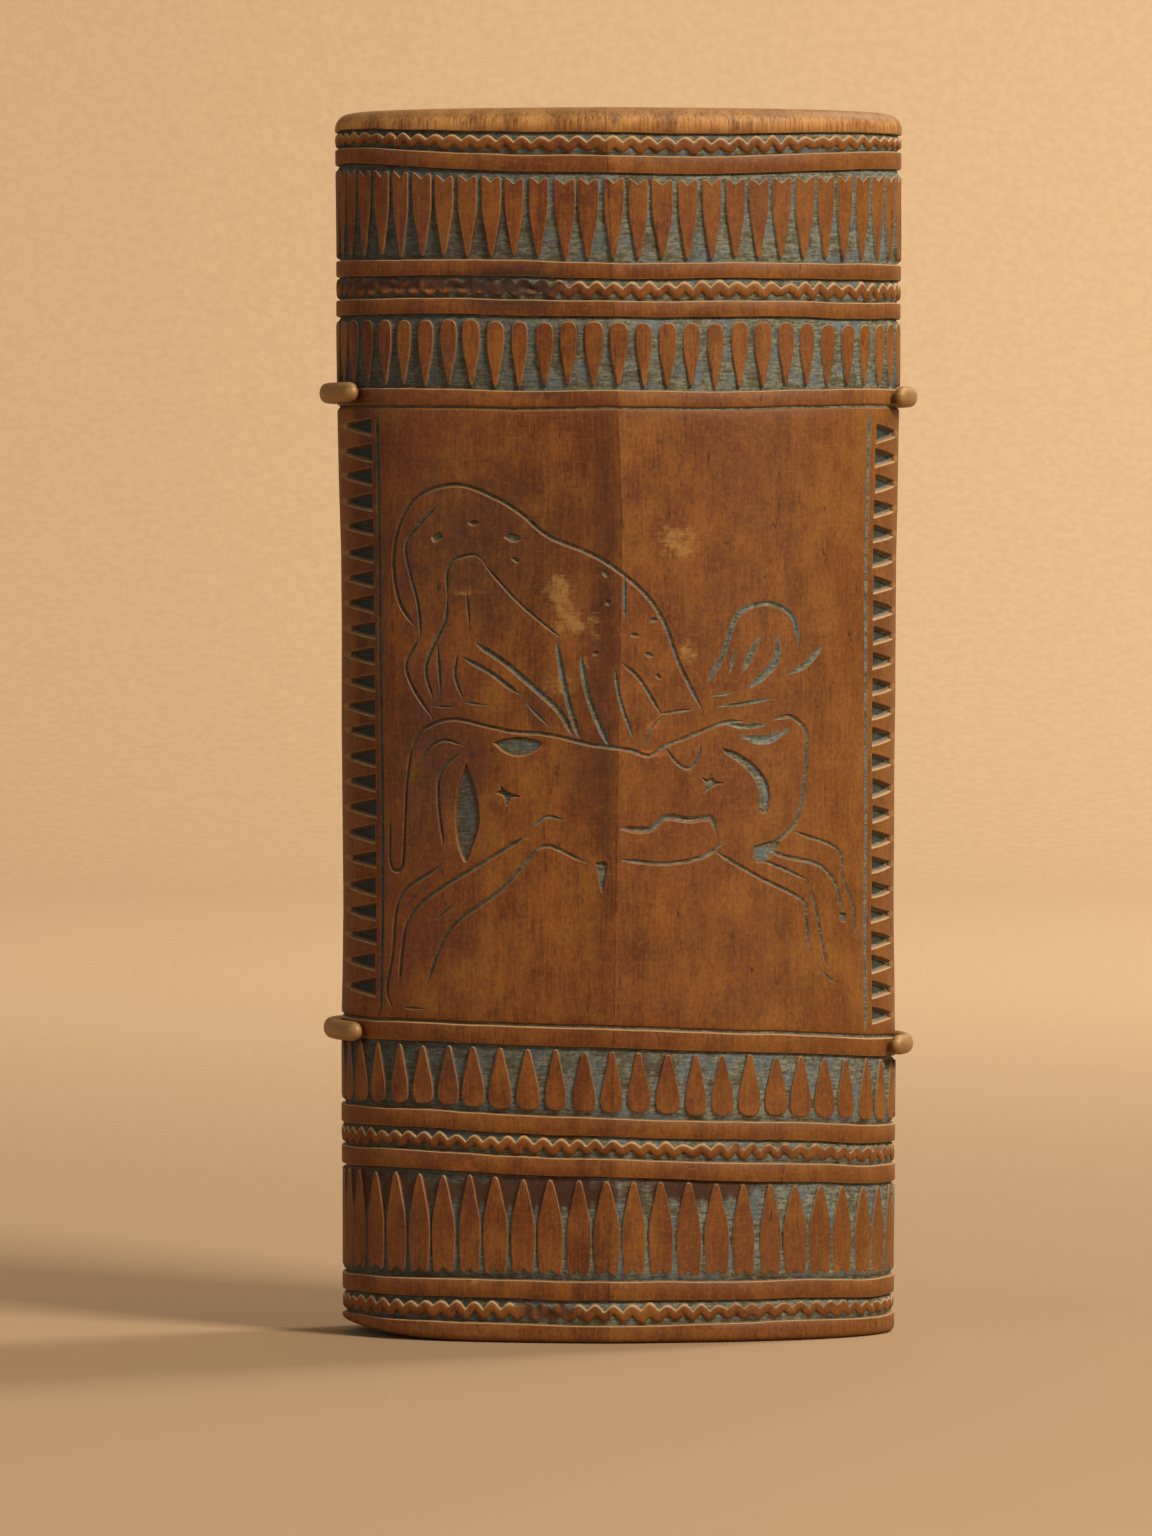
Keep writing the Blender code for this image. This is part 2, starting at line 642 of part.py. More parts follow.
def make_container():
    mesh = bmesh.new()
    foot_ring, rim_ring = wrap_wall(mesh)

    below = foot_ring
    for angle in FOOT_ANGLES:
        inset = FOOT_RADIUS * (1 - math.cos(math.radians(angle)))
        height = FOOT_RADIUS * (1 - math.sin(math.radians(angle)))
        ring = new_ring(mesh, ring_points(inset, height, lifted=True))
        join_rings(mesh, ring, below)
        below = ring
    ring = new_ring(mesh, ring_points(WORN_CORNER_REACH, 0.0))
    join_rings(mesh, ring, below)
    mesh.faces.new(list(reversed(ring)))

    above = rim_ring
    for angle in RIM_ANGLES:
        inset = RIM_RADIUS * (1 - math.cos(math.radians(angle)))
        height = HEIGHT - RIM_RADIUS * (1 - math.sin(math.radians(angle)))
        ring = new_ring(mesh, ring_points(inset, height))
        join_rings(mesh, above, ring)
        above = ring

    top_edges = [mesh.edges.get((a, b)) for a, b in zip(above, above[1:] + above[:1])]
    for side in (-1, 1):
        centre = side * BORE_SPACING / 2
        radius = BORE_DIAMETER / 2
        mouth = new_ring(mesh, circle(centre, radius + BORE_CHAMFER, HEIGHT, BORE_SEGMENTS))
        for a, b in zip(mouth, mouth[1:] + mouth[:1]):
            top_edges.append(mesh.edges.new((a, b)))
        outer = mouth
        for height in (HEIGHT - BORE_CHAMFER, BORE_FLOOR):
            ring = new_ring(mesh, circle(centre, radius, height, BORE_SEGMENTS))
            join_rings(mesh, outer, ring)
            outer = ring
        mesh.faces.new(outer)
    bmesh.ops.triangle_fill(mesh, use_beauty=True, edges=top_edges, normal=(0, 0, 1))
    bmesh.ops.recalc_face_normals(mesh, faces=mesh.faces)
    return mesh


def add_object(name, mesh, material, sharp_angle):
    data = bpy.data.meshes.new(name)
    mesh.to_mesh(data)
    mesh.free()
    data.materials.append(material)
    data.shade_smooth()
    data.set_sharp_from_angle(angle=math.radians(sharp_angle))
    thing = bpy.data.objects.new(name, data)
    bpy.context.scene.collection.objects.link(thing)
    return thing


def add_box(mesh, low, high):
    """A box between two corners."""
    corners = []
    for z in (low[2], high[2]):
        for x, y in ((low[0], low[1]), (high[0], low[1]), (high[0], high[1]), (low[0], high[1])):
            corners.append(mesh.verts.new(Vector((x, y, z)) * MM))
    for face in ((3, 2, 1, 0), (4, 5, 6, 7), (0, 1, 5, 4), (1, 2, 6, 5), (2, 3, 7, 6), (3, 0, 4, 7)):
        mesh.faces.new([corners[i] for i in face])


def arm_outer_back(height):
    """How far back the outer side of an arm reaches behind the container."""
    return wall_point(0.0, height, -(CRADLE_CLEARANCE + ARM_THICKNESS)).y


def arm_stations():
    """Places along an arm, each a run and a share of the arm's full size there."""
    left_tip = OVAL.length * LEFT_SIDE + ARM_PAST_LEFT
    right_tip = OVAL.length * (RIGHT_SIDE - 1) - ARM_PAST_RIGHT
    tip_length = ARM_TIP[-1][0]
    step = OVAL.length / RING_SEGMENTS
    first = math.floor((right_tip + tip_length) / step) + 1
    last = math.ceil((left_tip - tip_length) / step) - 1
    stations = [(step * place, 1.0) for place in range(first, last + 1)]
    for tip, inward in ((right_tip, 1), (left_tip, -1)):
        stations += [(tip + inward * back, share) for back, share in ARM_TIP]
    return sorted(stations)


def make_arm(height, fall):
    """A rounded strip that follows the wall from one tip, round the back, to the other."""
    mesh = bmesh.new()
    sections = []
    for run, share in arm_stations():
        section = []
        for out, up in ARM_SECTION:
            depth = -(CRADLE_CLEARANCE + ARM_THICKNESS * share * out)
            point = wall_point(run, height, depth)
            across = OVAL.point(run).x / (WIDTH_FOOT / 2)
            point.z = height - fall * across + ARM_HEIGHT / 2 * share * up
            section.append(mesh.verts.new(point * MM))
        sections.append(section)
    count = len(ARM_SECTION)
    for first, last in zip(sections, sections[1:]):
        for i in range(count):
            j = (i + 1) % count
            mesh.faces.new((first[i], last[i], last[j], first[j]))
    mesh.faces.new(sections[0])
    mesh.faces.new(list(reversed(sections[-1])))
    bmesh.ops.recalc_face_normals(mesh, faces=mesh.faces)
    return mesh


def make_cradle(material):
    """Foot plate and spine behind the container, with an arm round its back near each end."""
    arms = ((PANEL_FOOT - LOWER_FILLET * 2 / 3, LOWER_ARM_FALL),
            (PANEL_TOP + UPPER_FILLET, UPPER_ARM_FALL))
    spine_front = min(arm_outer_back(height) for height, fall in arms) - ARM_THICKNESS / 2
    spine_back = spine_front + SPINE_THICKNESS
    half_spine = SPINE_WIDTH / 2
    half_plate = FOOT_PLATE_WIDTH / 2

    mesh = bmesh.new()
    add_box(mesh, (-half_spine, spine_front, FOOT_PLATE_THICKNESS / 2),
            (half_spine, spine_back, arms[-1][0] + ARM_HEIGHT))
    spine = add_object("display_cradle", mesh, material, BRASS_SHARP_ANGLE)
    plate = bmesh.new()
    add_box(plate, (-half_plate, spine_front, 0.0),
            (half_plate, spine_front + FOOT_PLATE_DEPTH, FOOT_PLATE_THICKNESS))
    cutters = [add_object("cradle_foot", plate, material, BRASS_SHARP_ANGLE)]
    for height, fall in arms:
        arm = make_arm(height, fall)
        cutters.append(add_object("cradle_arm", arm, material, BRASS_SHARP_ANGLE))
    for tool in cutters:
        union = spine.modifiers.new("join", "BOOLEAN")
        union.operation = "UNION"
        union.object = tool
        tool.hide_render = True
        tool.display_type = "WIRE"
    return spine


def principled(name, colour, roughness, metallic):
    material = bpy.data.materials.new(name)
    material.use_nodes = True
    shader = material.node_tree.nodes["Principled BSDF"]
    shader.inputs["Base Color"].default_value = (*colour, 1.0)
    shader.inputs["Roughness"].default_value = roughness
    shader.inputs["Metallic"].default_value = metallic
    return material


remove_everything()
wood = principled("carved wood", (0.42, 0.12, 0.025), 0.5, 0.0)
add_object("container", make_container(), wood, WOOD_SHARP_ANGLE)
make_cradle(principled("brass", (0.45, 0.30, 0.13), 0.4, 0.9))
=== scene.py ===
# %% [markdown]
# # A carved wooden cosmetic container
#
# The object is one block of reddish wood, oval in plan and about 165 mm tall, with two upright
# bores for eye paint. Bands of leaves and wavy rope run round its foot and its neck, a cat on the
# back of a bull is cut into its front, and triangles are chipped out down both sides. The cuts
# were filled with a blue paste that is now grey with dust.
#
# Blender can dress a part that was modelled elsewhere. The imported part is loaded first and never
# moved, so each new piece below is placed from the same sizes and stands in for a packed one.

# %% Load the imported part
import math
import random

import bmesh
import bpy
import numpy as np
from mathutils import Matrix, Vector, noise
from mathutils.geometry import delaunay_2d_cdt


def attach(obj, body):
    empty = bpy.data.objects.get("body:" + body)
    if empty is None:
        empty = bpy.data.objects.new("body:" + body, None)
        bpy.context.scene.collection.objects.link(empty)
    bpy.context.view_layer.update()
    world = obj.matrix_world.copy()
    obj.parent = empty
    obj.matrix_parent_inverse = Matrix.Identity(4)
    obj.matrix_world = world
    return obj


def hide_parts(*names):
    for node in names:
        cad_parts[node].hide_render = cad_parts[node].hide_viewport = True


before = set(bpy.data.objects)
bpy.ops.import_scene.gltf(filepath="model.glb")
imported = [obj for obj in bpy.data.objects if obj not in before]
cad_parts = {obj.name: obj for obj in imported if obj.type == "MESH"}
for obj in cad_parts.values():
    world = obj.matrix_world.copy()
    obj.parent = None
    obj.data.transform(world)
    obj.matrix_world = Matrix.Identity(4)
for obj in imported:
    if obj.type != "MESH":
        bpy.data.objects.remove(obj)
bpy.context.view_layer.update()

MM = 0.001
print("packed nodes:", sorted(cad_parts))

# %% [markdown]
# ## The outline of the block
#
# The block's plan is an oval a little squarer than an ellipse. Everything on its wall is laid out
# flat first, by the run round the oval and the height above the foot, the way a maker would wrap
# a paper pattern round it. So the first tool is a table that turns a run into a place on the oval.
# Run 0 is the middle of the back, a quarter is the left side and a half is the front's middle.

# %% Look up the oval by the run round it
HEIGHT = 165.0
WIDTH_FOOT = 75.0
WIDTH_TOP = 77.0
DEPTH_FOOT = 45.0
DEPTH_TOP = 46.0
SECTION_POWER = 2.15
OVAL_STEPS = 2880
LOOK_ASIDE = 0.2

turns = np.linspace(0.0, 2 * math.pi, OVAL_STEPS + 1)
oval_x = -np.copysign(np.abs(np.sin(turns)) ** (2 / SECTION_POWER), np.sin(turns)) * WIDTH_FOOT / 2
oval_y = np.copysign(np.abs(np.cos(turns)) ** (2 / SECTION_POWER), np.cos(turns)) * DEPTH_FOOT / 2
oval_run = np.concatenate(([0.0], np.cumsum(np.hypot(np.diff(oval_x), np.diff(oval_y)))))
ROUND = float(oval_run[-1])


def oval_place(run):
    """Places on the oval for an array of runs."""
    run = np.mod(run, ROUND)
    return np.interp(run, oval_run, oval_x), np.interp(run, oval_run, oval_y)


def oval_outward(run):
    """Outward directions at an array of runs."""
    x0, y0 = oval_place(run - LOOK_ASIDE)
    x1, y1 = oval_place(run + LOOK_ASIDE)
    length = np.hypot(x1 - x0, y1 - y0)
    return (y1 - y0) / length, -(x1 - x0) / length


def widened(flat_x, flat_y, height):
    """Scale places on the foot's oval to the block's size at a height."""
    share = height / HEIGHT
    return (flat_x * (1 + (WIDTH_TOP / WIDTH_FOOT - 1) * share),
            flat_y * (1 + (DEPTH_TOP / DEPTH_FOOT - 1) * share))


def front_run(across):
    """Run of a front place that lies this far to the right of the middle."""
    front = (oval_run > ROUND * 0.25) & (oval_run < ROUND * 0.75)
    return float(np.interp(across, oval_x[front], oval_run[front]))


print(f"once round the block is {ROUND:.1f} mm")

# %% [markdown]
# ## Where the bands lie
#
# Counted from the foot there are four plain fillets below the panel and four above it, with rope
# or leaves between them. The cutter worked by hand, so the lower lines fall to the right and the
# upper ones sag in the middle. One function gives that drift, and every line of the wall uses it,
# so lines that drift together stay parallel. Its table has one row for each height where the
# drift was judged: the rise at the middle, the slope and the bend.

# %% Heights of the bands and the drift of their lines
FOOT_BAND = 2.8
ROPE_BAND = 3.2
LOWER_FILLET = 2.4
UPPER_FILLET = 2.1
RIM_BAND = 3.3
RIM_RADIUS = 2.2
FOOT_RADIUS = 0.9
LOWER_BANDS = (("rope", ROPE_BAND), ("tall up", 13.6), ("rope", ROPE_BAND), ("short up", 9.4))
UPPER_BANDS = (("short down", 10.1), ("rope", ROPE_BAND), ("tall down", 11.9), ("rope", ROPE_BAND))

carved = []
level = FOOT_BAND
for kind, size in LOWER_BANDS:
    carved.append((kind, level, level + size))
    level += size + LOWER_FILLET
PANEL_FOOT = level
level = HEIGHT - RIM_BAND
upper = []
for kind, size in reversed(UPPER_BANDS):
    upper.append((kind, level - size, level))
    level -= size + UPPER_FILLET
PANEL_TOP = level
carved += reversed(upper)
foot_rope, tall_up, _, short_up, short_down, _, tall_down, rim_rope = carved

# Height, rise at the middle, slope to the right, bend up at both sides
DRIFT = ((FOOT_RADIUS, 0.0, 0.0, 0.0), (FOOT_BAND, -0.3, -0.1, 0.2), (foot_rope[2], -0.1, -0.35, -0.2),
         (tall_up[1], -0.1, -0.3, -0.3), (tall_up[2], 0.2, -1.3, -0.4), (PANEL_FOOT, 0.1, -1.45, -0.55),
         (PANEL_TOP, 0.15, 0.0, 0.7), (short_down[2], 0.0, -0.2, 0.5), (tall_down[1], -0.2, -0.28, 0.45),
         (tall_down[2], -0.2, -0.3, 1.65), (rim_rope[1], -0.1, -0.15, 1.6),
         (HEIGHT - RIM_BAND, -0.15, -0.2, 0.85), (HEIGHT - RIM_RADIUS, 0.0, 0.0, 0.0))


def drift(run, height):
    """How far the hand-cut lines at a height run off level."""
    across = oval_place(run)[0] / (WIDTH_FOOT / 2)
    levels, *columns = zip(*DRIFT)
    rise, slope, bend = (np.interp(height, levels, column) for column in columns)
    return rise + slope * across + bend * across ** 2


for kind, low, high in carved:
    print(f"{kind:10s} {low:6.1f} to {high:6.1f} mm")

# %% [markdown]
# ## From the flat pattern to the round block
#
# A point of the pattern has a run, a height and a depth of cut. Wrapping it takes its place on the
# oval, moves it inwards by the depth and adds what the flat pattern leaves out: the block is
# slightly wider at the top and drawn in at the panel, a soft ridge runs down the front, and no
# hand-worked surface is quite even. The unevenness only goes inwards, so the block keeps its size.

# %% Wrap points round the block
RIDGE_HEIGHT = 1.0
RIDGE_SPREAD = 8.0
RIDGE_LEVELS = (0.0, 0.27, 0.67, 1.0)
RIDGE_ACROSS = (-2.4, -1.6, -0.6, -2.8)
WAIST = 0.0105
WAIST_LEVELS = (38.0, 56.0, 105.0, 128.0)
# Lumps in millimetres, seed and swing of the lines' wander up and down
WANDER = ((16.0, 3.0, 0.28), (5.0, 5.0, 0.09))
UNEVEN = 0.07
UNEVEN_LUMPS = 11.0
# The worn corner of the foot: its run as a share of the round, then millimetres
WORN_CORNER = 0.26
WORN_CORNER_RISE = 1.7
WORN_CORNER_SPREAD = 13.0
WORN_CORNER_REACH = 9.0


def cloud(x, y, z, size, seed=0.0):
    """Smooth noise from -1 to 1 at places in millimetres, with lumps of about the given size."""
    return np.array([noise.noise(Vector((a, b, c)) / size + Vector((seed, seed * 2, 0.0)))
                     for a, b, c in zip(x, y, z)])


def ridge_across(height):
    """How far the front ridge lies to the right of the middle at a height."""
    return np.interp(height / HEIGHT, RIDGE_LEVELS, RIDGE_ACROSS)


def wrap(run, height, depth):
    """Turn arrays of pattern points into places in millimetres."""
    flat_x, flat_y = oval_place(run)
    wide_x, wide_y = widened(flat_x, flat_y, height)
    out_x, out_y = oval_outward(run)
    carved_zone = np.clip((height - FOOT_RADIUS) / 2, 0, 1) * np.clip((HEIGHT - height) / 4, 0, 1)
    wander = sum(cloud(flat_x, flat_y, height, lumps, seed) * swing for lumps, seed, swing in WANDER)
    uneven = UNEVEN + UNEVEN * cloud(flat_x, flat_y, height, UNEVEN_LUMPS, 7.0)
    lifted = np.clip((FOOT_BAND - height) / (FOOT_BAND - FOOT_RADIUS), 0, 1)
    lifted *= np.clip((WORN_CORNER_REACH - depth) / (WORN_CORNER_REACH - FOOT_RADIUS), 0, 1)
    depth = depth + uneven * carved_zone
    waist = 1 - WAIST * np.interp(height, WAIST_LEVELS, (0, 1, 1, 0))
    x = wide_x * waist - out_x * depth
    y = wide_y - out_y * depth
    ridge = np.exp(-np.abs(x - ridge_across(height)) / RIDGE_SPREAD)
    y -= RIDGE_HEIGHT * ridge * np.clip(-flat_y / (DEPTH_FOOT / 4), 0, 1)
    z = height + drift(run, height) + wander * carved_zone
    away = run - ROUND * WORN_CORNER
    lift = WORN_CORNER_RISE * np.exp(-(away / WORN_CORNER_SPREAD) ** 2)
    return x, y, z + lift * lifted


middle = wrap(*np.array([[ROUND / 2], [82.0], [0.0]]))
print("front middle at mid height:", [round(float(value[0]), 1) for value in middle])

# %% [markdown]
# ## Plain strips between the carving
#
# A fillet is a smooth band with crisp, slightly worn edges. A ring of points is made with
# `create_circle` and extruded upwards again and again, which gives clean strips of quads. The ring
# points carry their run, height and depth in layers of numbers, and get their true places at the
# end. Two more layers say how worn an edge is, with a painted highlight on edges that face the light,
# and where the paste lies, for the material to read.
# The bores and the cradle's arms are extruded rings too, so they use the same two helpers.

# %% Rings and strips
RING_POINTS = 264
# Height of the foot's one extra ring, about halfway up its worn corner
FOOT_RING = 1.8
LAYER_NAMES = ("run", "height", "depth", "wear_and_highlight", "paste")

block = bmesh.new()
layers = {name: block.verts.layers.float.new(name) for name in LAYER_NAMES}


def new_ring(mesh, segments, radius=1.0, cap=False):
    """Make a circle, and give its points and edges."""
    verts = bmesh.ops.create_circle(mesh, cap_ends=cap, segments=segments, radius=radius)["verts"]
    return verts, list(dict.fromkeys(edge for vert in verts for edge in vert.link_edges))


def extruded(mesh, edges):
    """Extrude edges, and give the new points and the edges between them."""
    made = bmesh.ops.extrude_edge_only(mesh, edges=edges)["geom"]
    verts = [item for item in made if isinstance(item, bmesh.types.BMVert)]
    members = set(verts)
    return verts, [item for item in made
                   if isinstance(item, bmesh.types.BMEdge) and set(item.verts) <= members]


def mark(vert, height, depth, wear_and_highlight, paste):
    """Write everything but the run into a point's layers."""
    for name, value in zip(LAYER_NAMES[1:], (height, depth, wear_and_highlight, paste)):
        vert[layers[name]] = value


# A carved band's edge, from the plain side: distance past the edge, depth, wear with painted highlight, and
# paste
CARVED_EDGE = ((-0.16, 0.0, 0.0, 0.0), (0.0, 0.08, 1.0, 0.0), (0.06, 0.4, 0.2, 0.2),
               (0.16, 0.62, 0.0, 0.8))
PANEL_EDGE = ((-0.3, 0.0, 0.0, 0.0), (-0.1, 0.02, 0.4, 0.0), (0.02, 0.12, 0.9, 0.0),
              (0.16, 0.36, 0.0, 0.6), (0.36, 0.36, 0.0, 0.6), (0.6, 0.08, 0.2, 0.0), (0.95, 0.0, 0.0, 0.0))


def edge_rings(level, toward, profile):
    """Rings of one edge as (height, depth, worn, paste); toward is 1 where the cut is above it."""
    rings = [(level + toward * past, depth, wear_and_highlight, paste) for past, depth, wear_and_highlight, paste in profile]
    return rings if toward > 0 else rings[::-1]


def add_strip(rings, cap=False):
    """Make the first ring, and extrude it through the others."""
    verts, edges = new_ring(block, RING_POINTS, cap=cap)
    for number, vert in enumerate(verts):
        vert[layers["run"]] = ROUND * number / RING_POINTS
        mark(vert, *rings[0])
    for ring in rings[1:]:
        verts, edges = extruded(block, edges)
        for vert in verts:
            mark(vert, *ring)


def rounded(radius, level, toward, angles):
    """Rings of a rounded rim or foot: inset and height at each angle of the quarter round."""
    return [(level - toward * radius * (1 - math.sin(math.radians(a))),
             radius * (1 - math.cos(math.radians(a))), 0.0, 0.0) for a in angles]


foot = [(0.0, WORN_CORNER_REACH, 0.0, 0.0)] + rounded(FOOT_RADIUS, 0.0, -1, (90, 65, 40, 20, 0))
foot.append((FOOT_RING, 0.0, 0.0, 0.0))
rim = rounded(RIM_RADIUS, HEIGHT, 1, (0, 12, 25, 40, 55, 70, 90))
add_strip(foot + edge_rings(FOOT_BAND, 1, CARVED_EDGE), cap=True)
for (_, _, low), (_, high, _) in zip(carved[:3] + carved[4:7], carved[1:4] + carved[5:8]):
    add_strip(edge_rings(low, -1, CARVED_EDGE) + edge_rings(high, 1, CARVED_EDGE))
add_strip(edge_rings(short_up[2], -1, CARVED_EDGE) + edge_rings(PANEL_FOOT, 1, PANEL_EDGE))
add_strip(edge_rings(PANEL_TOP, -1, PANEL_EDGE) + edge_rings(short_down[1], 1, CARVED_EDGE))
add_strip(edge_rings(HEIGHT - RIM_BAND, -1, CARVED_EDGE) + rim)
print(len(block.faces), "faces in the plain strips")

# %% [markdown]
# ## A sheet that follows every cut
#
# Leaves, rope and figures have thousands of crisp, irregular edges. A boolean for each would be
# slow, and a grid fine enough for them all would be huge, so this part leaves the operators: the
# edges are drawn on the flat pattern and Blender's constrained triangulation fills between them.
# Where points fall together the corner takes the values of the deepest of them, and where two
# lines cross, the new corner takes those of the nearest point.

# %% Sheets of triangles
SAME_PLACE = 1e-5
MERGE_GAP = 1e-6


class Sheet:
    """Points of the flat pattern between two heights, and the lines that triangles follow."""

    def __init__(self, low, high, depth, paste):
        self.points = []
        self.values = []
        self.links = []
        runs = [ROUND * number / RING_POINTS for number in range(RING_POINTS + 1)]
        for level in (low, high):
            self.line([(run, level, depth, 0.0, paste) for run in runs])

    def dot(self, run, height, depth=0.0, wear_and_highlight=0.0, paste=0.0):
        """Add one point."""
        self.points.append((run, height))
        self.values.append((depth, wear_and_highlight, paste))

    def line(self, places, closed=False):
        """Join places given as (run, height, depth, worn, paste), where the last three may be left out."""
        first = len(self.points)
        for place in places:
            self.dot(*place)
        last = len(self.points) - 1
        self.links += [(number, number + 1) for number in range(first, last)]
        if closed:
            self.links.append((last, first))

    def close_sides(self):
        """Join the points where the sheet will meet itself."""
        for side in (0.0, ROUND):
            column = sorted((height, number) for number, (run, height) in enumerate(self.points)
                            if abs(run - side) < SAME_PLACE)
            for (low, first), (high, last) in zip(column, column[1:]):
                if high - low > SAME_PLACE:
                    self.links.append((first, last))

    def fill(self, shape=None):
        """Triangulate, and add the sheet to the block. A shape gives the values from the place."""
        self.close_sides()
        flat = [Vector(point) for point in self.points]
        corners, _, faces, sources, _, _ = delaunay_2d_cdt(flat, self.links, [], 0, MERGE_GAP)
        given = np.array(self.values)
        where = np.array(self.points)
        places = np.array([(corner.x, corner.y) for corner in corners])
        values = np.zeros((len(corners), 3))
        for number, found in enumerate(sources):
            if found:
                values[number] = given[max(found, key=lambda source: given[source][0])]
            else:
                values[number] = given[np.argmin(((where - places[number]) ** 2).sum(axis=1))]
        if shape:
            values = shape(places, values)
        verts = []
        for (run, height), (depth, wear_and_highlight, paste) in zip(places, values):
            vert = block.verts.new()
            vert[layers["run"]] = run
            mark(vert, height, depth, wear_and_highlight, paste)
            verts.append(vert)
        for face in faces:
            block.faces.new([verts[corner] for corner in face])
        return len(faces)


def outset(outline, distance):
    """Move a closed outline outwards by a distance, or inwards if it is negative."""
    outline = np.asarray(outline)
    ahead = np.roll(outline, -1, axis=0) - outline
    ahead /= np.linalg.norm(ahead, axis=1)[:, None]
    behind = np.roll(ahead, 1, axis=0)
    area = np.sum(outline[:, 0] * np.roll(outline[:, 1], -1) - np.roll(outline[:, 0], -1) * outline[:, 1])
    side = np.sign(area)
    aside = np.stack((ahead[:, 1] + behind[:, 1], -ahead[:, 0] - behind[:, 0]), axis=1) * side
    length = np.linalg.norm(aside, axis=1)[:, None]
    lean = np.clip(length / 2, 0.6, 1.0)
    return outline + aside / length * distance / lean


FLOOR_DEPTH = CARVED_EDGE[-1][1]
FLOOR_PASTE = 0.7
print("sheets meet the strips", CARVED_EDGE[-1][0], "mm past each edge")

# %% [markdown]
# ## Leaves
#
# Each leaf is a low island with a flat top and steep cut sides. It keeps its width for half its
# length and then narrows to a blunt tip that almost touches the next fillet. Tall leaves have a
# small notch cut into their base, and short ones a rounded base. An outline is drawn once, then
# repeated with small seeded differences in width, length and lean, as a knife would leave them.
# The ground between the leaves slopes: it is shallow at their bases and deepest at their tips.

# %% Rows of leaves
UPPER_ROW = 60
LOWER_ROW = 52
# Across as a share of the half width, along in millimetres
TALL_BASE = ((0.0, 0.72), (0.25, 0.46), (0.5, 0.18), (0.72, 0.02), (0.88, 0.02), (1.0, 0.32))
LOWER_BASE = ((0.0, 0.62), (0.22, 0.42), (0.44, 0.12), (0.6, 0.0), (0.76, 0.1), (0.86, 0.45))
SHORT_BASE = ((0.0, 0.0), (0.35, 0.04), (0.65, 0.2), (0.88, 0.55), (0.98, 1.05))
# Across as a share of the half width, along as a share of the length
SLENDER_SIDE = ((0.98, 0.14), (0.97, 0.3), (0.9, 0.45), (0.74, 0.59), (0.53, 0.73), (0.36, 0.86),
                (0.2, 0.97), (0.0, 1.0))
ROUND_SIDE = ((1.0, 0.26), (0.95, 0.42), (0.78, 0.57), (0.54, 0.71), (0.36, 0.84), (0.22, 0.95),
              (0.0, 1.0))
PENCIL_SIDE = ((0.94, 0.15), (1.0, 0.32), (0.99, 0.48), (0.86, 0.61), (0.64, 0.74), (0.44, 0.86),
               (0.26, 0.95), (0.14, 0.99), (0.0, 1.0))
DROP_SIDE = ((1.0, 0.22), (0.94, 0.35), (0.8, 0.49), (0.62, 0.63), (0.45, 0.77), (0.31, 0.89),
             (0.18, 0.98), (0.0, 1.0))
# Base, side, leaves in the row, gap in millimetres, slide round the front, and the ground's depth
# beside the base as a share of its depth at the tips
LEAF_KINDS = {"tall up": (LOWER_BASE, PENCIL_SIDE, LOWER_ROW, 0.42, -0.9, 0.35),
              "short up": (SHORT_BASE, DROP_SIDE, LOWER_ROW, 0.7, -0.1, 0.6),
              "short down": (SHORT_BASE, ROUND_SIDE, UPPER_ROW, 0.9, 0.5, 0.55),
              "tall down": (TALL_BASE, SLENDER_SIDE, UPPER_ROW, 0.46, -0.15, 0.5)}
# Rings of a leaf: outset, depth below its top or None for the ground's, wear with painted highlight, and
# paste
LEAF_RINGS = ((-0.07, 0.0, 0.25, 0.05), (0.0, 0.06, 0.7, 0.35), (0.15, None, 0.0, 0.8))
BASE_GAP = 0.85
TIP_GAP = 0.42
GROUND_STEP = 0.9
# Right beside a leaf the ground is this much shallower
GROUND_LIFT = 0.1
# Nothing on a sheet comes nearer than this to its sides
SHEET_MARGIN = 0.06


def leaf_outline(half, length, base, side):
    """Corners as (across, along) round one leaf, from its base's middle."""
    right = [(half * across, along) for across, along in base]
    right += [(half * across, length * share) for across, share in side]
    left = [(-across, along) for across, along in right[-2:0:-1]]
    return right + left


def shifted(run, shift):
    """Slide a pattern round the front and leave it in place at the back's seam."""
    return run + shift * (0.5 - 0.5 * math.cos(2 * math.pi * run / ROUND))


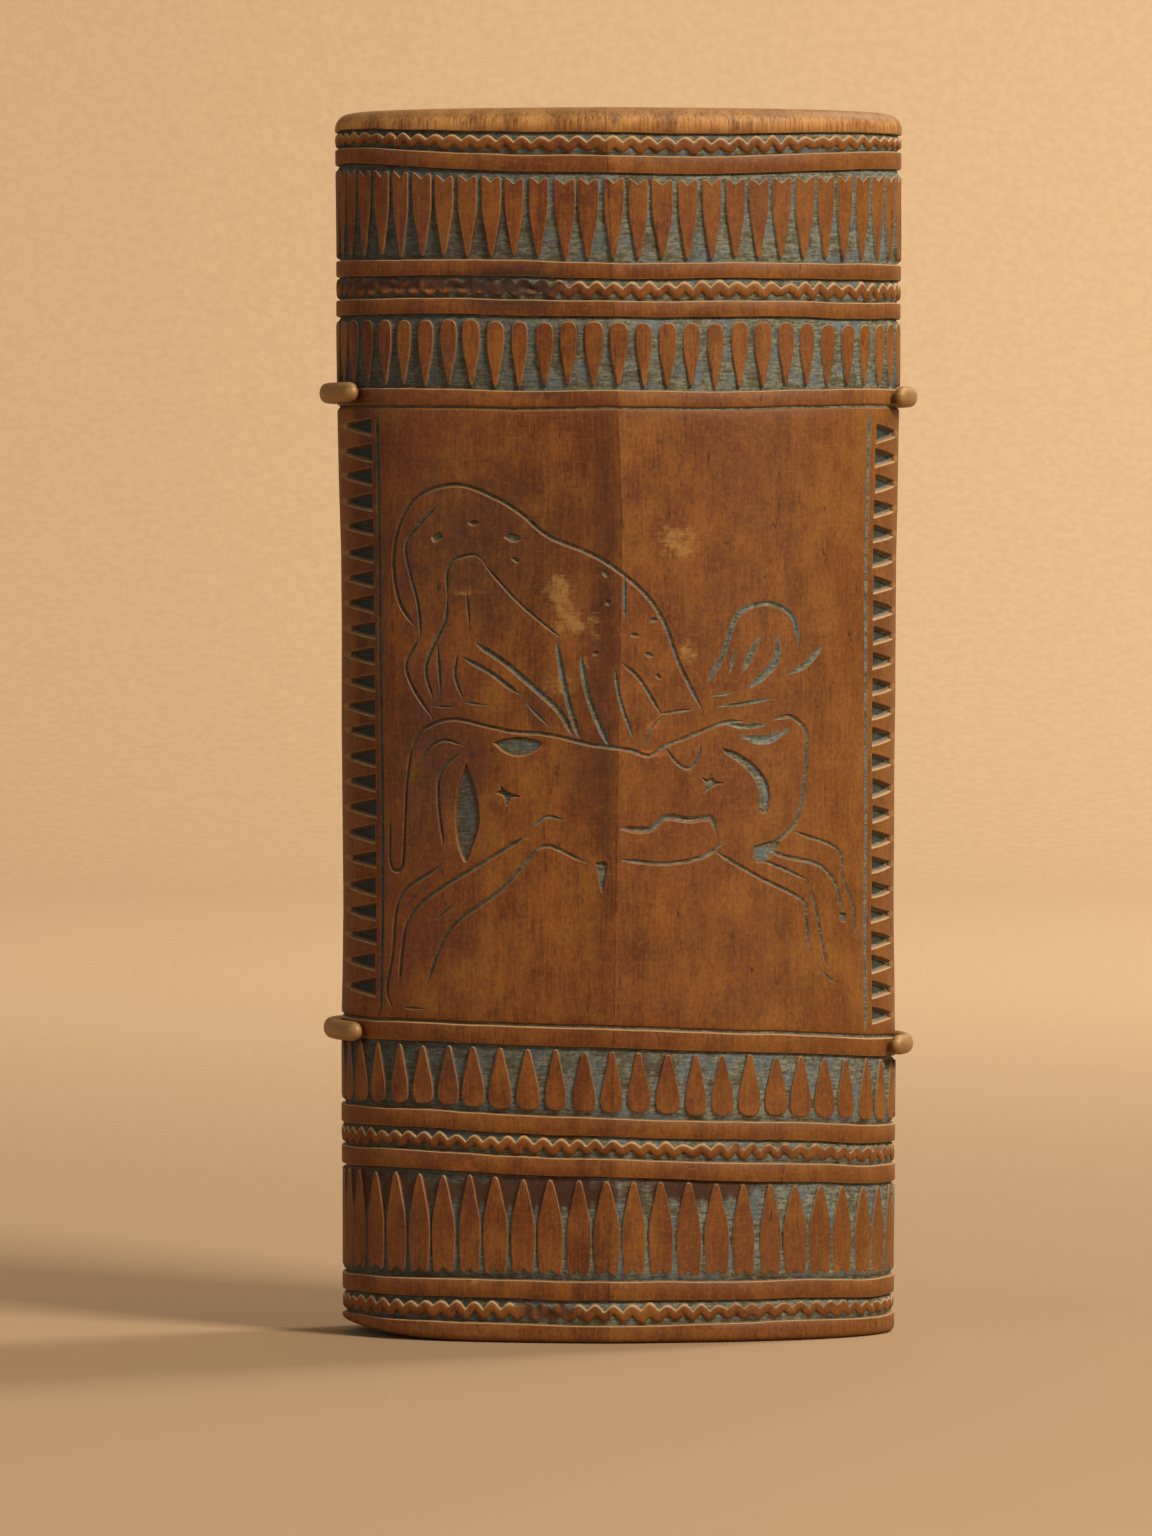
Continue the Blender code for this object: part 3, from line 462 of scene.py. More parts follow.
def add_leaves(low, high, kind, seed):
    """Carve one row of leaves between two heights, and give the number of faces."""
    leaf_base, side, count, leaf_gap, shift, shallow = LEAF_KINDS[kind]
    chance = random.Random(seed)
    edge = CARVED_EDGE[-1][0]
    sheet = Sheet(low + edge, high - edge, FLOOR_DEPTH, FLOOR_PASTE)
    upward = kind.endswith("up")
    base, toward = (low, 1) if upward else (high, -1)
    room = high - low
    step = ROUND / count
    for leaf in range(count):
        middle = step * (leaf + 0.5) + chance.uniform(-0.1, 0.1)
        half = (step - leaf_gap) / 2 * chance.uniform(0.86, 1.05)
        start = BASE_GAP + chance.uniform(-0.1, 0.12)
        length = room - start - TIP_GAP - chance.uniform(0.0, 0.3)
        lean = chance.uniform(-0.12, 0.12)
        drop = max(0.0, chance.uniform(-0.06, 0.1))
        outline = [(across + lean * along / length, along)
                   for across, along in leaf_outline(half, length, leaf_base, side)]
        for move, below, wear_and_highlight, paste in LEAF_RINGS:
            places = []
            for across, along in outset(outline, move):
                share = min(max(along / length, 0.0), 1.0)
                ground = (FLOOR_DEPTH - GROUND_LIFT) * (shallow + (1 - shallow) * share)
                run = shifted(min(max(middle + across, SHEET_MARGIN), ROUND - SHEET_MARGIN), shift)
                height = base + toward * min(start + along, room - edge - SHEET_MARGIN)
                places.append((run, height, ground if below is None else drop + below, wear_and_highlight, paste))
            sheet.line(places, closed=True)
    for gap in range(count + 1):
        chance = random.Random(seed * 1000 + gap % count)
        run = shifted(step * gap, shift)
        steps = int(room / GROUND_STEP)
        for number in range(1, steps):
            share = number / steps
            ground = FLOOR_DEPTH * (shallow + (1 - shallow) * (share if upward else 1 - share))
            depth = ground + chance.uniform(-0.08, 0.08)
            sheet.dot(run, low + edge + (room - 2 * edge) * share, depth, 0.0, 1.0)
    return sheet.fill()


leaf_faces = 0
for number, (kind, low, high) in enumerate(carved):
    if kind != "rope":
        leaf_faces += add_leaves(low, high, kind, 11 + number)
print(leaf_faces, "faces in the leaves")

# %% [markdown]
# ## Rope
#
# Between pairs of fillets a raised line waves up and down like a rope, with a pocket of paste in
# each bend. Lines follow each other through the waves, from one foot over the round back to the
# other. The waves are rounded outside and pinched inside each bend, which the bend power gives.
# In places the rope has been rubbed away, so a wear map flattens it there.

# %% Waves of rope
ROPE_WAVES = 82
ROPE_STEPS = 10
ROPE_SWING = 0.42
ROPE_BEND = 0.48
ROPE_HALF = 0.79
# From the rope's middle line: offset, depth, wear with painted highlight, and paste
ROPE_LINES = ((-1.0, 0.42, 0.0, 0.9), (-0.8, 0.18, 0.2, 0.1), (-0.5, 0.05, 0.0, 0.0),
              (0.0, 0.0, 0.0, 0.0), (0.5, 0.04, 0.4, 0.0), (0.8, 0.16, 1.0, 0.1), (1.0, 0.42, 0.0, 0.9))
# Lumps of the unevenness in millimetres and its share: of the swing, of the thickness, and of the
# slide along the rope, which is in radians
SWING_LUMPS, SWING_SHAKE = 4.0, 0.6
THICK_LUMPS, THICK_SHAKE = 2.4, 0.4
SLIDE_LUMPS, SLIDE_SHAKE = 7.0, 0.9
# Depth, roughness and lumps of rubbed places
RUBBED_DEPTH = 0.4
RUBBED_ROUGH = 0.28
RUBBED_LUMPS = 1.3
# Rubbed places: across and height of the middle, half width and half height, strength
RUBBED = ((-28.0, 142.0, 17.5, 1.6, 1.0), (-11.0, 4.4, 3.6, 1.6, 0.9), (26.0, 26.0, 12.0, 1.6, 0.4),
          (24.0, 4.4, 12.0, 1.6, 0.35))


def rubbed(run, height):
    """How much the carving is rubbed down at arrays of places, from 0 to 1."""
    across, back = oval_place(run)
    wear_and_highlight = np.zeros(len(run))
    for x, z, wide, tall, strength in RUBBED:
        away = np.maximum(np.abs(across - x) / wide, np.abs(height - z) / tall)
        wear_and_highlight = np.maximum(wear_and_highlight, strength * np.clip((1.25 - away) / 0.35, 0, 1) * (back < 0))
    return wear_and_highlight


def add_rope(low, high, seed):
    """Carve one rope between two heights, and give the number of faces."""
    edge = CARVED_EDGE[-1][0]
    sheet = Sheet(low + edge, high - edge, FLOOR_DEPTH, FLOOR_PASTE)
    steps = ROPE_WAVES * ROPE_STEPS
    runs = np.arange(steps + 1) * ROUND / steps
    x, y = oval_place(runs)
    shake = cloud(x, y, np.full(steps + 1, low), SWING_LUMPS, seed)
    slide = cloud(x, y, np.full(steps + 1, high), SLIDE_LUMPS, seed) * SLIDE_SHAKE
    thick = cloud(x, y, np.full(steps + 1, high), THICK_LUMPS, seed)
    wave = np.sin(2 * math.pi * ROPE_WAVES * runs / ROUND + slide)
    above = 2 * ((1 + wave) / 2) ** ROPE_BEND - 1
    below = 1 - 2 * ((1 - wave) / 2) ** ROPE_BEND
    for offset, depth, wear_and_highlight, paste in ROPE_LINES:
        swing = above * (0.5 + offset / 2) + below * (0.5 - offset / 2)
        middle = (low + high) / 2 + swing * ROPE_SWING * (1 + SWING_SHAKE * shake)
        heights = middle + offset * ROPE_HALF * (1 + THICK_SHAKE * thick)
        heights = np.clip(heights, low + edge + SHEET_MARGIN, high - edge - SHEET_MARGIN)
        sheet.line([(run, height, depth, wear_and_highlight, paste) for run, height in zip(runs, heights)])

    def flatten(places, values):
        """Wear the rope down in its rubbed places."""
        wear_and_highlight = rubbed(places[:, 0], places[:, 1])
        values = values.copy()
        rough = cloud(places[:, 0], places[:, 1], np.zeros(len(places)), RUBBED_LUMPS, seed)
        wear_and_highlight *= 0.85 + 0.15 * np.clip(rough * 3, -1, 1)
        inside = np.minimum(places[:, 1] - low, high - places[:, 1]) - edge
        wear_and_highlight *= np.clip(inside / 0.2, 0, 1)
        values[:, 0] = values[:, 0] * (1 - wear_and_highlight) + (RUBBED_DEPTH + RUBBED_ROUGH * rough) * wear_and_highlight
        values[:, 1] *= 1 - wear_and_highlight
        values[:, 2] *= 1 - 0.35 * wear_and_highlight
        return values

    return sheet.fill(flatten)


rope_faces = sum(add_rope(low, high, 20 + low) for kind, low, high in carved if kind == "rope")
print(rope_faces, "faces in the rope")

# %% [markdown]
# ## The figures of the front
#
# The figures are a hunting cat with a raised tail and, under it, a bull that walks to the right.
# They are drawn as strokes on a grid 100 units wide, from one frame line to the other, and 128
# high. Each stroke becomes a smooth curve, and its cut is shallow at the ends and deepest halfway,
# with sloping walls and a narrow floor that holds the paste. The depth at any place is that of the
# deepest stroke there, so crossing strokes join cleanly.

# %% Strokes on the drawing grid
GRID_WIDE = 100.0
GRID_HIGH = 128.0
FRAME_ACROSS = 32.07
FIGURES_LEFT = 0.27
# Name: width and depth in millimetres, then places as (across, up)
STROKES = {
    "cat back": (0.95, 0.42, ((6.5, 82.5), (3.5, 87.5), (2.5, 96), (4, 103.5), (7, 108.5), (11.5, 111),
                              (17, 111.5), (23.5, 109), (29, 105.5), (34.5, 101), (43.5, 97.5), (51, 92.5),
                              (55.5, 88), (58.5, 83), (61, 76), (64, 70), (66, 66.5))),
    "cat tail": (0.75, 0.36, ((11.5, 107), (7.5, 102.5), (5, 98.5), (6, 92.5), (7.5, 86.5), (8, 80))),
    "haunch": (0.85, 0.38, ((7.5, 79.5), (5, 74.5), (6.5, 69.5), (10, 64))),
    "rump": (0.75, 0.36, ((13.5, 88.5), (13.5, 93.5), (15, 96), (19, 97), (20.5, 96))),
    "thigh": (0.8, 0.38, ((13.5, 87.5), (13, 83.5), (10, 77), (9, 73), (10.5, 67.5))),
    "thigh dash": (0.7, 0.32, ((17.5, 89), (18, 82.5))),
    "shin": (0.75, 0.36, ((11.5, 78), (12, 69.5))),
    "shin back": (0.75, 0.36, ((15.5, 76.5), (15, 72.5), (16.5, 68))),
    "paw": (0.6, 0.3, ((10.5, 66), (14.5, 66))),
    "second paw": (0.6, 0.3, ((17, 67), (21, 66.5))),
    "cat side": (0.7, 0.34, ((21.5, 94.5), (28, 87.5), (36.5, 80.5))),
    "cat belly": (1.15, 0.44, ((19.5, 79), (25.5, 75), (32, 69.5), (37, 64.5), (39, 60.5))),
    "cat belly low": (1.0, 0.4, ((17, 76), (22.5, 73), (28, 69))),
    "cat belly end": (0.7, 0.32, ((30, 66.5), (34, 62.5))),
    "first rib": (1.15, 0.44, ((36, 79), (37, 73), (38.5, 66.5), (40.5, 60))),
    "second rib": (1.15, 0.44, ((41, 76), (42, 70), (44, 64), (46.5, 58.5))),
    "shoulder": (0.75, 0.36, ((50, 93), (50, 84))),
    "neck": (0.85, 0.38, ((49.5, 75), (53, 72), (57.5, 65))),
    "chest": (0.7, 0.34, ((57.5, 65), (64, 66))),
    "foreleg": (0.8, 0.38, ((48, 73.5), (49, 67.5), (51.5, 60.5))),
    "cat head": (0.95, 0.42, ((67.5, 72), (70.5, 77.5), (72.5, 83.5), (74.5, 86.5), (78.5, 88),
                              (82.5, 87.5), (85.5, 85), (86.5, 80.5))),
    "cheek": (0.7, 0.34, ((73, 78), (72, 74))),
    "cat eye": (1.3, 0.4, ((78, 80.5), (76.5, 78), (75, 74.5))),
    "jaw": (1.35, 0.4, ((82, 80.5), (81.5, 76), (76.5, 71))),
    "whisker": (1.1, 0.36, ((85, 74), (88, 75.5), (91.5, 79))),
    "lip": (0.6, 0.3, ((69, 69), (72, 69.5))),
    "second lip": (0.65, 0.32, ((70.5, 67), (74.5, 67.5), (80.5, 68.5))),
    "bull back": (0.85, 0.4, ((6, 57), (8.5, 61), (14.5, 63.5), (22, 62), (27, 61), (34, 60.5),
                              (42.5, 58.5), (46.5, 58), (51.5, 57.5), (55, 56.5), (58.5, 58.5),
                              (64.5, 61), (70.5, 63.5), (74.5, 64))),
    "muzzle": (0.9, 0.4, ((81.5, 64.5), (85, 65), (88, 62.5), (88.5, 59), (87.5, 48), (85.5, 42.5),
                          (80.5, 38.5))),
    "bull tail": (0.8, 0.38, ((6, 57), (5, 49.5), (4.5, 40), (4, 32.5), (2.5, 31.5), (1.5, 33.5),
                              (1.5, 42))),
    "horn": (0.75, 0.36, ((7.5, 54), (10, 57.5), (13, 59), (16.5, 58))),
    "flank": (0.8, 0.38, ((16, 56.5), (12, 52), (11.5, 46), (12.5, 37))),
    "dash": (0.75, 0.34, ((31, 41.5), (34, 43.5), (37, 43))),
    "hind leg": (0.9, 0.4, ((29, 39), (19.5, 33), (9, 26), (5, 21), (4, 15), (3.5, 8.5))),
    "hind leg back": (0.85, 0.38, ((11.5, 32.5), (3.5, 26), (2, 14), (1, 7), (2, 3))),
    "hind leg inner": (0.9, 0.4, ((31.5, 36.5), (24, 28), (14.5, 20.5), (11, 14), (9.5, 9))),
    "calf": (0.7, 0.32, ((14.5, 25), (11, 21.5))),
    "hoof": (0.6, 0.3, ((4.5, 3), (8.5, 3))),
    "belly arch": (0.85, 0.38, ((31.5, 36.5), (34.5, 37.5), (41.5, 34.5))),
    "ear": (0.75, 0.36, ((58.5, 58), (61, 55), (63.5, 54), (65.5, 56.5), (66, 59))),
    "bull eye": (1.7, 0.42, ((75.4, 60.6), (79.5, 60.2), (83.2, 61.6))),
    "double dash": (1.0, 0.36, ((71.5, 63.3), (75, 62.9), (79.5, 63.3))),
    "scar": (0.6, 0.3, ((54, 58.5), (55.5, 62), (58, 64.5))),
    "side fold": (1.3, 0.5, ((49, 41.5), (55, 41.5), (58.5, 44), (63.5, 43.5), (68, 44), (69, 41.5))),
    "bull belly": (0.85, 0.38, ((49.5, 35), (58, 34.5), (66, 36), (70.5, 39))),
    "foreleg back": (0.85, 0.38, ((69.5, 37), (78, 32.5), (87.5, 28), (88.5, 25), (89, 18.5))),
    "foreleg edge": (0.7, 0.34, ((77, 36.5), (82.5, 34.5), (88.5, 32))),
    "foreleg middle": (0.75, 0.36, ((89.5, 30.5), (91, 24.5), (93, 14))),
    "front hoof": (0.6, 0.3, ((92, 13), (94.5, 11))),
    "front leg": (0.85, 0.38, ((79.5, 38), (84, 36.5), (91, 35), (95, 31), (96.5, 25.5))),
    "front leg edge": (0.75, 0.36, ((86, 41.5), (95.5, 38), (96.5, 32.5), (99, 26.5), (99.5, 20))),
}
# Wider pockets of paste, as outlines on the same grid
POCKETS = {
    "flank pocket": ((17.2, 54.5), (15.4, 49), (14.8, 43), (15.4, 37), (17, 33.5), (18.6, 37),
                     (20, 42), (19.4, 48), (18, 52.5)),
    "back crescent": ((22.6, 58.6), (25, 59.6), (29, 60), (33, 58.8), (31, 56.6), (28, 55.8), (25, 56.6)),
    "belly notch": ((43.8, 34.4), (46.4, 34.2), (45.2, 28)),
    "brow": ((70.6, 58.4), (73.9, 57.4), (77.3, 55.2), (79.8, 52.1), (80.7, 48.7), (80, 45.2),
             (78.2, 45.6), (78.3, 48.6), (77.5, 51.3), (75.7, 53.7), (73.1, 55.8), (70.8, 57.2)),
    "shoulder star": ((65.2, 52.8), (67.6, 51.8), (68.5, 52.6), (69, 51.6), (71.2, 51), (69, 50.4),
                      (66.2, 48.8), (67, 50.6)),
    "side star": ((23.6, 50.6), (25.7, 48.6), (28.8, 47.4), (26.5, 46.9), (25.4, 45.1), (24.8, 47.3),
                  (22.8, 48), (24.2, 48.8)),
    "chest patch": ((77, 38.6), (82, 39.8), (82.6, 38.6), (79.8, 35.6), (77.6, 35.4)),
    "second hoof": ((95.8, 25.4), (97.4, 25.2), (97.2, 23.4), (95.9, 23.6)),
}
POCKET_PASTE = {"flank pocket": 0.55, "back crescent": 0.6}
# Across, up and radius in millimetres
SPOTS = ((11.5, 100.5, 0.9), (19, 103.6, 0.7), (27, 100.6, 1.0), (27.6, 96, 0.6), (46, 93.6, 0.6),
         (46.5, 87.6, 0.55), (44, 77, 0.5), (56, 84.2, 0.6), (52, 81, 0.55), (55, 77, 0.6), (57, 72.5, 0.5))
print(len(STROKES), "strokes,", len(POCKETS), "pockets and", len(SPOTS), "spots")

# %% [markdown]
# ## From strokes to cuts
#
# A smooth curve through a few points is what the knife did, so each stroke is sampled as a
# Catmull-Rom spline. Seven lines run along it: its middle, one halfway up each wall, the cut's two
# rims and a line just outside each rim that keeps the surface beyond it flat.

# %% Strokes as cuts
STROKE_STEP = 0.6
NARROWING = 0.8
SHALLOWING = 0.85
# Share of its width and depth that a stroke has at its ends, and how far from them each is full
END_WIDTH, WIDTH_TAPER = 0.4, 2.2
END_DEPTH, DEPTH_TAPER = 0.35, 1.8
FULL_PASTE, MOST_PASTE, LEAST_PASTE = 1.0, 0.75, 0.55
# Strokes that still hold a full line of paste, and those that hold most of it
PASTED = ("cat eye", "jaw", "cheek", "whisker", "cat head", "bull eye", "lip", "second lip",
          "double dash")
MOSTLY_PASTED = ("shoulder", "dash", "thigh", "shin", "shin back", "paw", "second paw", "first rib",
                 "second rib", "cat belly", "cat belly low", "cat belly end", "cat tail", "foreleg")
# Offsets of a stroke's lines: share of the half width, and millimetres beyond it
STROKE_LINES = ((-1, -0.15), (-1, 0), (-0.5, 0), (0, 0), (0.5, 0), (1, 0), (1, 0.15))


def panel_place(across, up):
    """A place of the drawing grid as (run, height)."""
    x = (across / GRID_WIDE - 0.5) * 2 * FRAME_ACROSS - FIGURES_LEFT
    return front_run(x), PANEL_FOOT + (PANEL_TOP - PANEL_FOOT) * up / GRID_HIGH


def smooth_line(points, step):
    """Sample a smooth curve through the points."""
    points = [np.array(point) for point in points]
    ends = [2 * points[0] - points[1]] + points + [2 * points[-1] - points[-2]]
    samples = []
    for a, b, c, d in zip(ends, ends[1:], ends[2:], ends[3:]):
        count = max(2, round(np.linalg.norm(c - b) / step))
        for number in range(count):
            t = number / count
            samples.append(0.5 * (2 * b + (c - a) * t + (2 * a - 5 * b + 4 * c - d) * t * t
                                  + (3 * b - a - 3 * c + d) * t ** 3))
    samples.append(points[-1])
    return np.array(samples)


class Cut:
    """One stroke: a curve with its half width and depth at each sample."""

    # Share of the half width that slopes, and how far out paste reaches as a share of it
    slope = 0.85
    paste_reach = 1.25

    def __init__(self, points, width, depth, paste):
        self.line = points
        self.paste = paste
        spans = np.linalg.norm(np.diff(points, axis=0), axis=1)
        along = np.concatenate(([0.0], np.cumsum(spans)))
        from_end = np.minimum(along, along[-1] - along)
        self.half = width / 2 * np.clip(END_WIDTH + from_end / WIDTH_TAPER, 0.0, 1.0)
        self.depth = depth * np.clip(END_DEPTH + from_end / DEPTH_TAPER, 0.0, 1.0)

    def reach(self, places):
        """Distance as a share of the half width, distance beyond the rim, and depth, at each place."""
        start = self.line[:-1]
        span = self.line[1:] - start
        length = (span ** 2).sum(axis=1)
        share = np.clip(((places[:, None] - start) * span).sum(axis=2) / length, 0, 1)
        gap = np.linalg.norm(places[:, None] - start - share[..., None] * span, axis=2)
        half = self.half[:-1] + share * np.diff(self.half)
        ratio = gap / half
        best = ratio.argmin(axis=1)
        rows = np.arange(len(places))
        depth = self.depth[:-1] + share * np.diff(self.depth)
        return ratio[rows, best], gap[rows, best] - half[rows, best], depth[rows, best]

    def draw(self, sheet):
        """Add the stroke's lines to a sheet."""
        ahead = np.gradient(self.line, axis=0)
        ahead /= np.linalg.norm(ahead, axis=1)[:, None]
        aside = np.stack((-ahead[:, 1], ahead[:, 0]), axis=1)
        for share, extra in STROKE_LINES:
            sheet.line(self.line + aside * (self.half * share + extra)[:, None])


print(len(PASTED), "strokes full of paste and", len(MOSTLY_PASTED), "nearly full")

# %% [markdown]
# ## Wide pockets and small spots
#
# Some cuts are wider than a stroke, such as the bull's brow, two stars and the cat's spots. Such a
# pocket is a closed outline with sloping walls and a flat floor, so its floor is the outline moved
# inwards by the width of the wall. Whether a place lies inside is found by counting how many sides
# a line to the right of it would cross.

# %% Pockets, and all cuts of the figures
POCKET_STEP = 0.5
POCKET_DEPTH = 0.42
POCKET_FULL = 0.9
SPOT_SIDES = 6
SPOT_DEPTH = 0.34
SPOT_PASTE = 0.75


class Pocket:
    """A wide cut with a flat floor inside a closed outline."""

    # Slope and reach as shares of the wall, then wall and outer ring in millimetres
    slope = 1.0
    paste_reach = 0.5
    wall = 0.27
    margin = 0.2

    def __init__(self, points, depth, paste):
        closed = list(points) + list(points[:1])
        self.line = smooth_line(closed, POCKET_STEP)[:-1]
        self.depth = depth
        self.paste = paste

    def reach(self, places):
        """The same three measures as for a stroke, with the wall's width as the half width."""
        start = self.line
        span = np.roll(start, -1, axis=0) - start
        share = np.clip(((places[:, None] - start) * span).sum(axis=2) / (span ** 2).sum(axis=1), 0, 1)
        gap = np.linalg.norm(places[:, None] - start - share[..., None] * span, axis=2).min(axis=1)
        x, y = places[:, :1], places[:, 1:]
        ends = start + span
        level = (start[:, 1] > y) != (ends[:, 1] > y)
        with np.errstate(divide="ignore", invalid="ignore"):
            crossing = start[:, 0] + (y - start[:, 1]) / (ends[:, 1] - start[:, 1]) * span[:, 0]
        inside = (level & (x < crossing)).sum(axis=1) % 2 == 1
        beyond = np.where(inside, -gap, gap)
        return np.clip(1 + beyond / self.wall, 0, None), beyond, np.full(len(places), self.depth)

    def draw(self, sheet):
        """Add a ring outside the rim, the rim and the floor's outline to a sheet."""
        for ring in (outset(self.line, self.margin), self.line, self.floor()):
            sheet.line(ring, closed=True)

    def floor(self):
        """The outline of the flat floor."""
        return outset(self.line, -self.wall)


cuts = []
for name, (width, depth, points) in STROKES.items():
    curve = smooth_line([panel_place(*point) for point in points], STROKE_STEP)
    paste = FULL_PASTE if name in PASTED else MOST_PASTE if name in MOSTLY_PASTED else LEAST_PASTE
    cuts.append(Cut(curve, width * NARROWING, depth * SHALLOWING, paste))
for name, points in POCKETS.items():
    outline = [panel_place(*point) for point in points]
    cuts.append(Pocket(outline, POCKET_DEPTH, POCKET_PASTE.get(name, POCKET_FULL)))
for number, (across, up, radius) in enumerate(SPOTS):
    run, height = panel_place(across, up)
    turn = np.arange(SPOT_SIDES) / SPOT_SIDES * 2 * math.pi + number
    reach = radius * (1 + 0.25 * np.sin(turn * 2 + number))
    ring = np.stack((run + reach * np.cos(turn), height + 0.8 * reach * np.sin(turn)), axis=1)
    cuts.append(Pocket([tuple(point) for point in ring], SPOT_DEPTH, SPOT_PASTE))
print(len(cuts), "cuts on the front")

# %% [markdown]
# ## Side borders and frame lines
#
# Down each narrow side run two facing columns of triangles. Each was chipped out with sloping
# cuts, so its walls lean in to a small flat floor, and the wall that faces up catches the light and
# is also given a pale painted highlight.
# A thin line frames the front panel and the plain back.

# %% Triangles and lines
TRIANGLE_BASE = 2.7
TRIANGLE_ROOM = 0.2
TIP_FROM_SIDE = 2.1
# Side, facing, base and frame line from the side, first triangle above the panel's foot, and pitch
BORDERS = ((0.25, 1, 12.4, 13.5, 4.5, 3.44), (0.25, -1, 11.0, 12.8, 3.4, 3.4),
           (0.75, -1, 11.7, 13.2, 3.0, 3.32), (0.75, 1, 11.0, 12.8, 3.6, 3.36))
# Width, depth and paste of a frame line, and its places up the panel as (aside, height)
FRAME_LINE = (0.7, 0.26, 0.85)
FRAME_WANDER = ((0.15, 70.0), (-0.1, 98.0))
FRAME_STEP = 1.2
FRAME_GAP = 0.3
PANEL_START = PANEL_FOOT + PANEL_EDGE[-1][0]
PANEL_END = PANEL_TOP - PANEL_EDGE[-1][0]


class Triangle(Pocket):
    """A chip-cut triangle with straight sides."""

    wall = 0.55
    depth = 0.85
    paste = 0.8
    side_step = 1.1

    def __init__(self, *corners):
        points = np.array(corners)
        opposite = np.linalg.norm(np.roll(points, -1, axis=0) - np.roll(points, -2, axis=0), axis=1)
        self.middle = (points * opposite[:, None]).sum(axis=0) / opposite.sum()
        (ax, ay), (bx, by), (cx, cy) = corners
        self.room = abs((bx - ax) * (cy - ay) - (cx - ax) * (by - ay)) / opposite.sum()
        sides = []
        for first, last in zip(corners, corners[1:] + corners[:1]):
            first, last = np.array(first), np.array(last)
            count = max(2, round(np.linalg.norm(last - first) / self.side_step))
            sides += [first + (last - first) * number / count for number in range(count)]
        self.line = np.array(sides)

    def floor(self):
        """The outline with all three sides moved in alike."""
        return self.middle + (self.line - self.middle) * (1 - self.wall / self.room)


def add_triangles():
    """Pockets for the chipped triangles, slightly different each time."""
    chance = random.Random(5)
    made = []
    for side, facing, base_from_side, _, first, pitch in BORDERS:
        last = PANEL_END - TRIANGLE_BASE / 2 - TRIANGLE_ROOM
        for height in np.arange(PANEL_FOOT + first, last, pitch):
            middle = height + chance.uniform(-0.12, 0.12)
            tip = ROUND * side + facing * (TIP_FROM_SIDE + chance.uniform(-0.3, 0.3))
            base = ROUND * side + facing * (base_from_side + chance.uniform(-0.15, 0.15))
            half = TRIANGLE_BASE / 2 * chance.uniform(0.88, 1.04)
            made.append(Triangle((base, middle - half), (base, middle + half), (tip, middle)))
    return made


def frame_lines():
    """Thin strokes up both sides of the panel and of the plain back."""
    made = []
    for side, facing, _, line_from_side, _, _ in BORDERS:
        run = ROUND * side + facing * line_from_side
        line = [(run, PANEL_START + FRAME_GAP)]
        line += [(run + aside, height) for aside, height in FRAME_WANDER]
        line.append((run, PANEL_END - FRAME_GAP))
        made.append(Cut(smooth_line(line, FRAME_STEP), *FRAME_LINE))
    return made


panel_cuts = cuts + add_triangles() + frame_lines()
print(len(panel_cuts), "cuts on the whole panel")

# %% [markdown]
# ## The panel
#
# All cuts are drawn into one sheet between the two carved friezes. Between the cuts a loose grid
# of points keeps the wood round, and none of these may fall inside a cut. Each corner then gets
# the depth of the deepest cut that reaches it, the most paste of any, wear with a painted highlight
# where a rim is near, and a painted highlight on the walls of the triangles.

# %% Carve the panel
PANEL_GRID = 1.5
GRID_CLEARANCE = 0.5
CUT_MARGIN = 1.5
# Pale rims of the cuts are wear with a painted highlight; the walls of the triangles get a painted
# highlight.
RIM_WEAR_AND_HIGHLIGHT = 0.55
RIM_WEAR_AND_HIGHLIGHT_WIDTH = 0.12
WALL_HIGHLIGHT = 0.8
WALL_LIP = 0.02
FAR_OUTSIDE = 9.0


def near_cut(cut, places):
    """Numbers of the places in a box round a cut."""
    low, high = cut.line.min(axis=0) - CUT_MARGIN, cut.line.max(axis=0) + CUT_MARGIN
    return np.nonzero(((places > low) & (places < high)).all(axis=1))[0]


def panel_values(places, values):
    """Depth, wear with painted highlight, and paste at panel places, from the cuts near each."""
    values = np.zeros_like(values)
    outside = np.full(len(places), FAR_OUTSIDE)
    leaning = np.zeros(len(places))
    for cut in panel_cuts:
        near = near_cut(cut, places)
        if not len(near):
            continue
        ratio, beyond, depth = cut.reach(places[near])
        depth = depth * np.clip((1 - ratio) / cut.slope, 0, 1)
        deeper = depth > values[near, 0]
        values[near[deeper], 0] = depth[deeper]
        pasted = np.clip((cut.paste_reach - ratio) / (cut.paste_reach / 2), 0, 1)
        values[near, 2] = np.maximum(values[near, 2], cut.paste * pasted)
        outside[near] = np.minimum(outside[near], beyond)
        if isinstance(cut, Triangle):
            on_wall = (beyond < WALL_LIP) & (beyond > WALL_LIP - cut.wall)
            leaning[near] = np.maximum(leaning[near], on_wall)
    # Pale painted highlight on the rims of cuts, with wear, and on the walls of the triangles.
    rim_wear_and_highlight = np.clip(1 - np.abs(outside) / RIM_WEAR_AND_HIGHLIGHT_WIDTH, 0, 1) * RIM_WEAR_AND_HIGHLIGHT
    values[:, 1] = np.maximum(rim_wear_and_highlight, leaning * WALL_HIGHLIGHT)
    return values


